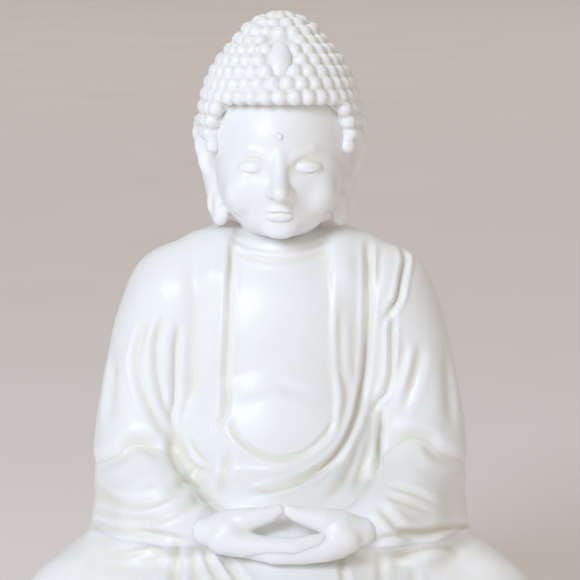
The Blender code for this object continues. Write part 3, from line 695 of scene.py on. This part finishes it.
BACK_FOLDS = [
    Groove(0.8, 0.7, 0.3, [(-13.5, 60.0), (-11.0, 52.0), (-6.0, 43.0), (2.0, 34.0), (10.0, 27.0)]),
    Groove(0.45, 0.9, 0.35, [(-6.0, 58.0), (-2.0, 50.0), (5.0, 41.0), (13.0, 33.0)]),
    Groove(0.4, 0.9, 0.35, [(1.0, 57.5), (6.0, 49.0), (13.0, 41.0)]),
    Groove(0.5, 0.9, 0.3, [(-15.0, 50.0), (-14.5, 40.0), (-12.0, 30.0), (-8.0, 24.5)]),
    Groove(0.5, 0.9, 0.3, [(15.5, 48.0), (15.0, 38.0), (14.0, 29.0)]),
    Groove(0.9, 0.9, 0.2, [(-24.0, 21.5), (-12.0, 22.8), (0.0, 23.2), (12.0, 22.8), (24.0, 21.5)]),
    Groove(0.45, 1.0, 0.3, [(-18.0, 18.0), (-8.0, 15.0), (3.0, 13.5), (14.0, 15.0)]),
    Groove(0.4, 1.0, 0.3, [(-20.0, 12.0), (-9.0, 9.5), (4.0, 8.5), (17.0, 10.5)]),
]

SIDE_FOLDS = [
    Groove(0.5, 1.0, 0.3, [(4.0, 46.0), (2.5, 40.0), (1.0, 34.0)]),
    Groove(0.5, 1.0, 0.3, [(10.5, 45.0), (9.0, 38.0), (6.0, 31.5), (2.0, 27.5)]),
    Groove(0.6, 0.9, 0.3, [(13.0, 36.0), (11.5, 30.0), (8.0, 25.5)]),
    Groove(0.5, 1.0, 0.3, [(14.0, 17.0), (6.0, 15.5), (-4.0, 13.0)]),
    Groove(0.45, 1.0, 0.3, [(17.0, 11.0), (7.0, 9.0), (-5.0, 7.0)]),
]


# ------------------------------------------------------------------------------------ head

# The face is divided into thirds from the hairline down to the chin: brow, nose, mouth and chin.
HAIRLINE = CHIN + 17.4
FACE_THIRD = (HAIRLINE - CHIN) / 3
BROW = HAIRLINE - FACE_THIRD
NOSE_BASE = BROW - FACE_THIRD
EYE_HEIGHT = BROW - 1.75
EYE_OUT = 3.7
MOUTH = NOSE_BASE - FACE_THIRD / 3
CRANIUM = Vector((0, HEAD_Y + 0.6, CHIN + 12.8))
CRANIUM_SIZES = Vector((9.7, 10.8, 9.8))


def skin_finder(piece):
    """A function that gives the skin's y where it is seen straight from the front at x and z."""
    tree = BVHTree.FromObject(piece, bpy.context.evaluated_depsgraph_get())

    def skin_y(x, z):
        return tree.ray_cast(Vector((x, -100, z)), Vector((0, 1, 0)))[0].y

    return skin_y


def push_in(piece, x, z, spread_x, spread_z, amount):
    """Presses a soft hollow into the front of the head, on both sides of its middle."""
    co = points_of(piece)
    front = smooth_ramp((HEAD_Y - 1.0 - co[:, 1]) / 4.0)
    bump = np.exp(-(((np.abs(co[:, 0]) - x) / spread_x) ** 2) - ((co[:, 2] - z) / spread_z) ** 2)
    co[:, 1] += amount * bump * front
    set_points(piece, co)


def ear_clay(side):
    """A long ear: a flat blade that stands a little off the head, with a rim and a heavy lobe."""
    turn = (0.0, 0.0, side * -38.0)
    blade = [
        ((9.9, 6.9, 75.0), (0.75, 1.9, 1.9)),
        ((10.0, 7.2, 73.2), (0.8, 2.5, 2.4)),
        ((9.5, 6.8, 70.6), (0.8, 2.3, 2.6)),
        ((8.9, 6.2, 67.8), (0.85, 1.9, 2.6)),
        ((8.5, 5.6, 65.2), (1.0, 1.7, 2.3)),
        ((8.1, 5.3, 63.7), (1.05, 1.5, 1.7)),
    ]
    rim = [
        (10.0, 5.6, 76.4), (10.9, 7.6, 76.3), (11.2, 9.3, 74.2),
        (10.7, 9.0, 71.3), (9.9, 8.0, 68.4), (9.2, 7.0, 65.8),
    ]
    lumps = [ball((side * x, y, z), sizes, turn) for (x, y, z), sizes in blade]
    lumps += limb([(side * x, y, z) for x, y, z in rim], [0.5, 0.55, 0.6, 0.6, 0.6, 0.7])
    return lumps


def make_head():
    front = HEAD_Y - 11.0
    lumps = [
        ball(CRANIUM, CRANIUM_SIZES),
        ball((0, front + 8.6, CHIN + 8.6), (8.6, 8.6, 8.8)),
        ball((0, front + 7.4, CHIN + 4.0), (6.4, 6.2, 4.0)),
        ball((0, front + 2.9, CHIN + 1.9), (2.6, 2.0, 1.8)),
        bar((0, HEAD_Y + 2.2, NECK_FOOT), (0, HEAD_Y + 2.0, CHIN + 9.0), 5.6, 5.6),
    ]
    lumps += [ball((side * 4.3, front + 4.4, CHIN + 6.6), (3.3, 3.2, 3.5)) for side in (1, -1)]
    head = melt("head_casting", lumps, ROUGH_HEAD_GRAIN, smoothing=10)
    push_in(head, EYE_OUT - 0.3, EYE_HEIGHT + 0.2, 2.5, 1.5, 0.85)
    push_in(head, 2.1, EYE_HEIGHT + 0.3, 1.0, 1.3, 0.45)
    push_in(head, 4.4, MOUTH + 1.6, 1.6, 2.2, 0.25)
    push_in(head, 0.0, MOUTH - 1.9, 2.2, 0.8, 0.35)
    skin_y = skin_finder(head)

    def on_skin(x, z, out):
        return (x, skin_y(x, z) - out, z)

    ridges = limb(
        [
            on_skin(0, BROW + 0.9, -1.25),
            on_skin(0, BROW - 1.2, -0.6),
            on_skin(0, BROW - 3.0, -0.05),
            (0, front - 1.2, NOSE_BASE + 1.0),
        ],
        [1.2, 1.05, 1.0, 1.2],
    )
    for side in (1, -1):
        ridges += limb(
            [
                on_skin(side * 0.9, BROW - 1.1, -0.6),
                on_skin(side * 2.2, BROW + 0.2, -0.55),
                on_skin(side * 4.0, BROW + 0.65, -0.55),
                on_skin(side * 6.3, BROW - 0.3, -0.75),
            ],
            [0.8, 0.85, 0.85, 0.65],
        )
        ridges.append(ball((side * 1.1, front + 0.1, NOSE_BASE + 0.85), (0.85, 1.0, 0.75)))
    head = melt("head_casting", [head] + ridges, RIDGE_GRAIN, smoothing=9)
    skin_y = skin_finder(head)
    features = limb(
        [
            on_skin(-2.5, MOUTH + 0.2, -0.35),
            on_skin(-0.85, MOUTH + 0.5, 0.12),
            on_skin(0, MOUTH + 0.38, 0.1),
            on_skin(0.85, MOUTH + 0.5, 0.12),
            on_skin(2.5, MOUTH + 0.2, -0.35),
        ],
        [0.32, 0.55, 0.55, 0.55, 0.32],
    )
    features.append(ball(on_skin(0, MOUTH - 0.5, -0.1), (1.75, 0.75, 0.6)))
    for side in (1, -1):
        lid = on_skin(side * EYE_OUT, EYE_HEIGHT, -0.62)
        features.append(ball(lid, (2.0, 1.35, 1.2), (0, side * 4, side * 14)))
        features += ear_clay(side)
    head = melt("head_casting", [head] + features, FINE_GRAIN, smoothing=5)
    press_folds(head, "face", FACE_LINES, turning=0.5)
    for look in ("left", "right"):
        press_folds(head, look, EAR_FOLDS)
    apply_modifier(head, "SMOOTH", factor=0.4, iterations=1)
    return head


EAR_FOLDS = [
    Groove(0.55, 0.5, 0.4, [
        (4.4, 75.6), (6.4, 75.6), (8.3, 74.6), (8.7, 72.4), (8.0, 69.6), (6.8, 66.8),
    ]),
    Groove(0.5, 0.6, 0.3, [(4.6, 74.6), (6.2, 72.8), (6.0, 70.4), (5.0, 68.0)]),
    Groove(0.35, 0.4, 0.3, [(4.6, 68.0), (5.0, 66.2), (5.2, 64.2), (5.2, 62.6)]),
]


def mirrored_pair(groove):
    other = [(-across, up) for across, up in groove.route]
    return [groove, groove._replace(route=other)]


FACE_LINES = [
    Groove(0.30, 0.17, 0.3, [
        (-2.6, MOUTH + 0.25), (-1.3, MOUTH), (0, MOUTH + 0.08), (1.3, MOUTH), (2.6, MOUTH + 0.25),
    ]),
    Groove(0.12, 0.3, 0.3, [(0, NOSE_BASE - 0.1), (0, MOUTH + 1.0)]),
]
for line in (
    Groove(0.30, 0.17, 0.2, [
        (1.75, EYE_HEIGHT - 0.1), (2.7, EYE_HEIGHT - 0.6), (3.9, EYE_HEIGHT - 0.8),
        (5.0, EYE_HEIGHT - 0.5), (5.9, EYE_HEIGHT + 0.1),
    ]),
    Groove(0.14, 0.22, 0.3, [
        (1.9, EYE_HEIGHT + 0.4), (2.8, EYE_HEIGHT + 1.0), (3.9, EYE_HEIGHT + 1.15),
        (5.0, EYE_HEIGHT + 0.8), (5.9, EYE_HEIGHT + 0.2),
    ]),
    Groove(0.16, 0.3, 0.0, [(0.35, NOSE_BASE + 0.05), (0.75, NOSE_BASE), (1.1, NOSE_BASE + 0.1)]),
):
    FACE_LINES += mirrored_pair(line)


# ------------------------------------------------------------------------------------ hair

SKULL_HAIR = Vector((0, HEAD_Y + 0.5, CHIN + 15.2))
SKULL_HAIR_SIZES = Vector((10.3, 11.3, 12.5))
CROWN = Vector((0, HEAD_Y + 0.9, CROWN_TOP - 8.8))
CROWN_SIZES = Vector((7.1, 7.1, 8.0))
CURL_RADIUS = 1.1
CURL_PITCH = 1.86  # from curl to curl along a row
ROW_PITCH = 1.74  # from row to row
EDGE_ROW = HAIRLINE + 1.75  # height of the lowest row over the forehead
JEWEL_RISE = 3.2  # the jewel sits this much higher than the frame's plain one
JEWEL = (JEWEL_LOW + JEWEL_HIGH) / 2 + Vector((0, 0, JEWEL_RISE))
JEWEL_SIZES = (1.5, 1.0, 2.6)
JEWEL_LEAN = -32.0
JEWEL_CLEAR_ACROSS, JEWEL_CLEAR_UP = 2.0, 2.9  # no curl is nearer to the jewel than this
# Angle round from the front, and the hair's edge above the chin there
HAIR_EDGE = [
    (0, 18.3), (46, 18.2), (54, 16.6), (59, 12.6), (62, 10.6), (68, 10.6), (76, 13.2),
    (84, 16.0), (108, 16.0), (118, 9.5), (135, 6.3), (180, 5.5),
]


def hair_edge(turn):
    angles, heights = zip(*HAIR_EDGE)
    return CHIN + float(np.interp(abs(turn), angles, heights))


def leaves_ball(start, way, middle, sizes):
    """How far along a ray it comes out of an oval ball, or nothing where it misses."""
    p = [(start[k] - middle[k]) / sizes[k] for k in range(3)]
    w = [way[k] / sizes[k] for k in range(3)]
    a, b = sum(x * x for x in w), sum(x * y for x, y in zip(p, w))
    inside = b * b - a * (sum(x * x for x in p) - 1)
    return (-b + math.sqrt(inside)) / a if inside > 0 else 0.0


def hair_skin(way):
    reach = max(
        leaves_ball(SKULL_HAIR, way, SKULL_HAIR, SKULL_HAIR_SIZES),
        leaves_ball(SKULL_HAIR, way, CROWN, CROWN_SIZES),
    )
    return SKULL_HAIR + way * reach


def hair_way(tilt, turn):
    """The direction at a tilt from straight up, turned from the front towards the figure's left."""
    return Vector((math.sin(tilt) * math.sin(turn), -math.sin(tilt) * math.cos(turn), math.cos(tilt)))


def curl_rows():
    """Tilts of the rows of curls, a row apart along the side, with the lowest front row on the edge."""
    steps = [math.pi * k / 1200 for k in range(1, 1100)]
    places = [hair_skin(hair_way(tilt, math.radians(30))) for tilt in steps]
    walked = np.concatenate([[0.0], np.cumsum([(b - a).length for a, b in zip(places, places[1:])])])
    edge_row = walked[min(range(len(places)), key=lambda k: abs(places[k].z - EDGE_ROW))]
    first = edge_row % ROW_PITCH
    stations = np.arange(first, walked[-1], ROW_PITCH)
    return [steps[int(np.searchsorted(walked, station))] for station in stations]


def curl_places():
    places = [hair_skin(Vector((0, 0, 1)))]
    for row, tilt in enumerate(curl_rows()):
        ring = [hair_skin(hair_way(tilt, math.radians(a))) for a in range(0, 360, 4)]
        around = sum((b - a).length for a, b in zip(ring, ring[1:] + ring[:1]))
        count = max(5, round(around / CURL_PITCH))
        for k in range(count):
            turn = 360 * (k + 0.5 * (row % 2)) / count
            turn = turn - 360 if turn > 180 else turn
            place = hair_skin(hair_way(tilt, math.radians(turn)))
            across, up = (place.x - JEWEL.x) / JEWEL_CLEAR_ACROSS, (place.z - JEWEL.z) / JEWEL_CLEAR_UP
            by_jewel = across**2 + up**2 < 1 and place.y < HEAD_Y
            if place.z > hair_edge(turn) + 0.6 and not by_jewel:
                places.append(place)
    return places


def make_hair():
    """A cap and a topknot set with curls. Below its edge the cap is drawn in under the head's skin."""
    cap = ball(SKULL_HAIR, SKULL_HAIR_SIZES, segments=128, rings=96)
    co = points_of(cap)
    for k, place in enumerate(co):
        turn = math.degrees(math.atan2(place[0], SKULL_HAIR.y - place[1]))
        if place[2] < hair_edge(turn) + 0.7:
            away = Vector(place) - CRANIUM
            co[k] = CRANIUM + away * leaves_ball(CRANIUM, away, CRANIUM, CRANIUM_SIZES) * 0.9
    set_points(cap, co)
    crown = ball(CROWN, CROWN_SIZES)
    curl = ball((0, 0, 0), CURL_RADIUS, segments=12, rings=8)
    curls = []
    for place in curl_places():
        twin = copy_of(curl, "curl")
        outward = (place - Vector((0, HEAD_Y, CHIN + 13.0))).normalized()
        twin.data.transform(Matrix.Translation(place - outward * 0.05))
        curls.append(twin)
    bpy.data.objects.remove(curl)
    return melt("hair_casting", [cap, crown] + curls, HAIR_GRAIN, smoothing=2)


def make_jewel():
    tilts = [math.radians(angle / 4) for angle in range(20, 360)]
    front = (hair_skin(hair_way(tilt, 0.0)) for tilt in tilts)
    skin = min(front, key=lambda place: abs(place.z - JEWEL.z))
    jewel = ball(skin, JEWEL_SIZES, (JEWEL_LEAN, 0, 0), segments=48, rings=32)
    jewel.name = jewel.data.name = "crown_jewel"
    return jewel


def make_urna(head):
    z = (URNA_LOW.z + URNA_HIGH.z) / 2
    set_in = (0, skin_finder(head)(0, z) + 0.12, z)
    bead = ball(set_in, (0.48, 0.4, 0.48), segments=24, rings=16)
    bead.name = bead.data.name = "forehead_bead"
    return bead


# ------------------------------------------------------------------------------------ hands


HANDS_MIDDLE = 0.5  # the hands meet a little to the figure's left of its middle
UPPER_HAND_LIFT = 0.95  # the right hand lies on the left one


def hand_clay(side, lift):
    """A hand, palm up, from the wrist in its cuff to the fingertips. side is where its wrist is."""

    def seen(across, up, y):
        return at_front(side * across + HANDS_MIDDLE, up, y)

    lumps = limb(
        [
            seen(14.5, 21.2, -9.5),
            seen(12.4, 20.9, -13.0),
            seen(10.4, 21.3, -14.4),
            seen(7.3, 21.2, -15.2),
        ],
        [1.0, 0.8, 1.85, 2.6],
    )
    lumps.append(ball(seen(4.6, 18.8 + lift, -13.6), (4.4, 4.2, 1.2)))
    for back, shorter in ((0.0, 0.5), (1.6, 0.0), (3.2, 0.4), (4.8, 1.5)):
        lumps += limb(
            [
                seen(8.2, 20.3, -15.9 + back),
                seen(5.6, 19.0 + lift * 0.6, -16.6 + back),
                seen(2.4, 18.3 + lift, -17.2 + back),
                seen(-1.4, 18.2 + lift, -17.4 + back),
                seen(-4.8 + shorter, 18.9 + lift * 0.9, -16.9 + back),
                seen(-7.0 + shorter, 19.7 + lift * 0.6, -16.2 + back),
            ],
            [2.1, 1.75, 1.4, 1.3, 1.2, 0.95],
        )
    lumps += limb(
        [
            seen(9.8, 21.3, -14.4),
            seen(7.6, 22.2, -15.0),
            seen(5.4, 22.7, -15.5),
            seen(3.6, 23.1, -15.7),
            seen(1.9, 23.5, -15.8),
            seen(0.7, 24.1, -15.8),
        ],
        [1.9, 1.95, 1.75, 1.4, 1.1, 0.85],
    )
    return lumps


def make_hand(name, side, lift):
    return melt(name, hand_clay(side, lift), FINE_GRAIN, smoothing=12)


# ------------------------------------------------------------------------------------ finishes


def new_material(name):
    material = bpy.data.materials.new(name)
    material.use_nodes = True
    tree = material.node_tree
    return material, tree, tree.nodes["Principled BSDF"]


def set_sockets(node, **values):
    for name, value in values.items():
        node.inputs[name.replace("_", " ")].default_value = value


def noise(tree, scale, detail=4.0, stretch=(1.0, 1.0, 1.0)):
    """Soft grey mottling in the piece's own space; stretch draws it out along an axis."""
    place = tree.nodes.new("ShaderNodeTexCoord")
    mapping = tree.nodes.new("ShaderNodeMapping")
    mapping.inputs["Scale"].default_value = stretch
    texture = tree.nodes.new("ShaderNodeTexNoise")
    texture.inputs["Scale"].default_value = scale
    texture.inputs["Detail"].default_value = detail
    tree.links.new(place.outputs["Object"], mapping.inputs["Vector"])
    tree.links.new(mapping.outputs["Vector"], texture.inputs["Vector"])
    return texture.outputs["Fac"]


def colours(tree, factor, dark, light, low=0.3, high=0.7):
    ramp = tree.nodes.new("ShaderNodeValToRGB")
    first, last = ramp.color_ramp.elements
    first.position, first.color = low, (*dark, 1)
    last.position, last.color = high, (*light, 1)
    tree.links.new(factor, ramp.inputs["Fac"])
    return ramp.outputs["Color"]


def blend_colour(tree, factor, under, over):
    mix = tree.nodes.new("ShaderNodeMix")
    mix.data_type = "RGBA"
    tree.links.new(factor, mix.inputs["Factor"])
    for socket, colour in ((mix.inputs["A"], under), (mix.inputs["B"], over)):
        if isinstance(colour, tuple):
            socket.default_value = (*colour, 1)
        else:
            tree.links.new(colour, socket)
    return mix.outputs["Result"]


def scaled(tree, value, low, high):
    spread = tree.nodes.new("ShaderNodeMapRange")
    spread.inputs["To Min"].default_value = low
    spread.inputs["To Max"].default_value = high
    tree.links.new(value, spread.inputs["Value"])
    return spread.outputs["Result"]


def raise_surface(tree, shader, height, strength, distance):
    bump = tree.nodes.new("ShaderNodeBump")
    bump.inputs["Strength"].default_value = strength
    bump.inputs["Distance"].default_value = distance
    tree.links.new(height, bump.inputs["Height"])
    tree.links.new(bump.outputs["Normal"], shader.inputs["Normal"])


def resin_material():
    """Polished cast resin: milky and a little clouded, with painted shade that makes creases and hollows
    darker and yellower.
    """
    material, tree, shader = new_material("ivory_resin")
    set_sockets(
        shader,
        Subsurface_Weight=0.4,
        Subsurface_Radius=(1.0, 0.92, 0.75),
        Subsurface_Scale=0.5 * MM,
        IOR=1.46,
        Coat_Weight=0.12,
        Coat_Roughness=0.25,
    )
    cloud = noise(tree, 90.0)
    fine = noise(tree, 420.0, detail=3.0)
    body = colours(tree, cloud, (0.865, 0.860, 0.825), (0.900, 0.900, 0.885))
    # Painted shade: the deeper a point lies in a crease or hollow, the more its colour is blended towards a
    # darker yellow, standing in for the shade and warm glow there.
    hollow = tree.nodes.new("ShaderNodeAttribute")
    hollow.attribute_name = "hollow"
    crease_shade_amount = scaled(tree, hollow.outputs["Fac"], 0.0, 0.45)
    painted_crease_shade = blend_colour(tree, crease_shade_amount, body, (0.86, 0.80, 0.60))
    tree.links.new(painted_crease_shade, shader.inputs["Base Color"])
    tree.links.new(scaled(tree, fine, 0.36, 0.5), shader.inputs["Roughness"])
    raise_surface(tree, shader, fine, 0.12, 0.05 * MM)
    return material


def brass_material():
    """Drawn brass rod: fine lines along it, dulled in patches."""
    material, tree, shader = new_material("drawn_brass")
    set_sockets(shader, Metallic=1.0)
    lines = noise(tree, 1500.0, detail=2.0, stretch=(1.0, 1.0, 0.04))
    dull = noise(tree, 300.0)
    tree.links.new(colours(tree, dull, (0.60, 0.44, 0.20), (0.80, 0.62, 0.30)), shader.inputs["Base Color"])
    tree.links.new(scaled(tree, lines, 0.25, 0.5), shader.inputs["Roughness"])
    raise_surface(tree, shader, lines, 0.3, 0.03 * MM)
    return material


def filler_material():
    """Cast stone filler: pale grey with darker grit and small pores."""
    material, tree, shader = new_material("cast_filler")
    set_sockets(shader, Roughness=0.9)
    grit = noise(tree, 900.0, detail=6.0)
    body = colours(tree, noise(tree, 160.0), (0.58, 0.57, 0.54), (0.72, 0.71, 0.68))
    speck = colours(tree, grit, (0, 0, 0), (1, 1, 1), low=0.62, high=0.68)
    tree.links.new(blend_colour(tree, speck, body, (0.36, 0.35, 0.33)), shader.inputs["Base Color"])
    raise_surface(tree, shader, grit, 0.6, 0.2 * MM)
    return material


def board_material():
    """Greyboard: pressed fibres, lying mostly one way."""
    material, tree, shader = new_material("pressed_greyboard")
    set_sockets(shader, Roughness=0.92)
    fibres = noise(tree, 700.0, detail=6.0, stretch=(1.0, 0.15, 1.0))
    board = colours(tree, fibres, (0.36, 0.33, 0.29), (0.55, 0.51, 0.45))
    tree.links.new(board, shader.inputs["Base Color"])
    raise_surface(tree, shader, fibres, 0.5, 0.08 * MM)
    return material


def felt_material():
    """Wool felt: matted fibres with a soft nap."""
    material, tree, shader = new_material("wool_felt")
    set_sockets(shader, Roughness=1.0, Sheen_Weight=0.5, Sheen_Roughness=0.4)
    matted = noise(tree, 1300.0, detail=8.0)
    patches = noise(tree, 120.0)
    thread = colours(tree, matted, (0.035, 0.085, 0.055), (0.085, 0.17, 0.11))
    faded = blend_colour(tree, scaled(tree, patches, 0.0, 0.35), thread, (0.10, 0.19, 0.13))
    tree.links.new(faded, shader.inputs["Base Color"])
    raise_surface(tree, shader, matted, 0.9, 0.25 * MM)
    return material


def floor_material():
    """A pale, matt painted table top."""
    material, tree, shader = new_material("pale_floor")
    set_sockets(shader, Roughness=0.85)
    paint = noise(tree, 12.0)
    top = colours(tree, paint, (0.82, 0.78, 0.77), (0.85, 0.81, 0.80))
    tree.links.new(top, shader.inputs["Base Color"])
    return material


# ------------------------------------------------------------------------------------ pieces out


def drop_offcuts(piece):
    """Keeps only the largest of the separate bodies that cutting has left."""
    name = piece.name
    pick(piece)
    bpy.ops.mesh.separate(type="LOOSE")
    bodies = sorted(bpy.context.selected_objects, key=lambda body: len(body.data.vertices))
    for offcut in bodies[:-1]:
        bpy.data.objects.remove(offcut)
    bodies[-1].name = bodies[-1].data.name = name
    return bodies[-1]


def finish_piece(piece, slot_name, material, *nodes):
    """Brings a casting to metres, gives it its finish, and lets it stand for the frame's nodes."""
    piece = drop_offcuts(piece)
    if "hollow" not in piece.data.attributes:
        mark_hollows(piece)
    pick(piece)
    piece.scale = (MM, MM, MM)
    bpy.ops.object.transform_apply(location=True, rotation=True, scale=True)
    piece.data.materials.clear()
    piece.data.materials.append(material)
    bpy.ops.object.shade_smooth_by_angle(angle=CREASE_ANGLE)
    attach(piece, "root")
    if nodes:
        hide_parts(*nodes)
    return piece


def make_floor():
    put_down()
    bpy.ops.mesh.primitive_plane_add(size=6.0, location=(0, 0, 0))
    floor = bpy.context.object
    floor.name = "floor"
    floor.data.materials.append(floor_material())


def soft_light(name, place, aim, size, watts, colour):
    put_down()
    bpy.ops.object.light_add(type="AREA", location=Vector(place))
    lamp = bpy.context.object
    lamp.name = name
    lamp.data.size = size
    lamp.data.energy = watts
    lamp.data.color = colour
    lamp.rotation_euler = (Vector(aim) - lamp.location).to_track_quat("-Z", "Y").to_euler()


def set_up_studio():
    middle = (0, 0, 0.05)
    soft_light("key_light", (-0.26, -0.44, 0.30), middle, 0.20, 2.1, (0.70, 0.82, 1.0))
    soft_light("fill_light", (0.45, -0.30, 0.15), middle, 0.50, 0.35, (1.0, 0.95, 0.90))
    soft_light("floor_light", (0.0, 1.4, 2.2), (0, 1.3, 0), 2.0, 15.0, (1.0, 0.95, 0.92))
    world = bpy.data.worlds.new("studio")
    world.use_nodes = True
    world.node_tree.nodes["Background"].inputs["Color"].default_value = (1.0, 0.92, 0.85, 1)
    world.node_tree.nodes["Background"].inputs["Strength"].default_value = 0.40
    bpy.context.scene.world = world
    bpy.context.scene.view_settings.view_transform = "Standard"


def set_up_camera():
    put_down()
    towards = Vector((0, math.cos(CAMERA_RISE), -math.sin(CAMERA_RISE)))
    bpy.ops.object.camera_add(location=(AIM - towards * CAMERA_DISTANCE) * MM)
    camera = bpy.context.object
    camera.rotation_euler = towards.to_track_quat("-Z", "Y").to_euler()
    camera.data.sensor_width = 36.0
    camera.data.lens = camera.data.sensor_width * CAMERA_DISTANCE / VIEW_WIDTH
    camera.data.clip_start = 0.01
    camera.data.clip_end = 20.0
    bpy.context.scene.camera = camera


# ------------------------------------------------------------------------------------ the figure

set_up_camera()
set_up_studio()
make_floor()
resin, brass = resin_material(), brass_material()
CARRIED_OVER = {
    "felt_pad": felt_material(),
    "base_plate": board_material(),
    "ballast_block": filler_material(),
    "neck_dowel": brass,
    "left_lap_pin": brass,
    "right_lap_pin": brass,
    "left_sleeve_pin": brass,
    "right_sleeve_pin": brass,
}
for node, finish in CARRIED_OVER.items():
    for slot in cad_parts[node].material_slots:
        slot.material = finish
lap, torso, left_sleeve, right_sleeve = divide_robe(make_robe())
head = make_head()
hair = make_hair()
jewel = make_jewel()
urna = make_urna(head)
left_hand = make_hand("left_hand_casting", 1, lift=0.0)
right_hand = make_hand("right_hand_casting", -1, lift=UPPER_HAND_LIFT)

carve(left_hand, right_hand, keep=True)
for sleeve in (left_sleeve, right_sleeve):
    carve(sleeve, left_hand, right_hand, keep=True)
carve(lap, left_hand, right_hand, keep=True)
carve(torso, left_hand, right_hand, head, keep=True)
carve(head, urna, keep=True)
carve(hair, head, jewel, keep=True)

finish_piece(lap, "ivory_resin", resin, "lap")
finish_piece(torso, "ivory_resin", resin, "torso")
finish_piece(left_sleeve, "ivory_resin", resin, "left_sleeve")
finish_piece(right_sleeve, "ivory_resin", resin, "right_sleeve")
finish_piece(left_hand, "ivory_resin", resin, "left_hand")
finish_piece(right_hand, "ivory_resin", resin, "right_hand")
finish_piece(head, "ivory_resin", resin, "head")
finish_piece(hair, "ivory_resin", resin, "hair_cap")
finish_piece(jewel, "ivory_resin", resin, "hair_jewel")
finish_piece(urna, "ivory_resin", resin, "urna_bead")
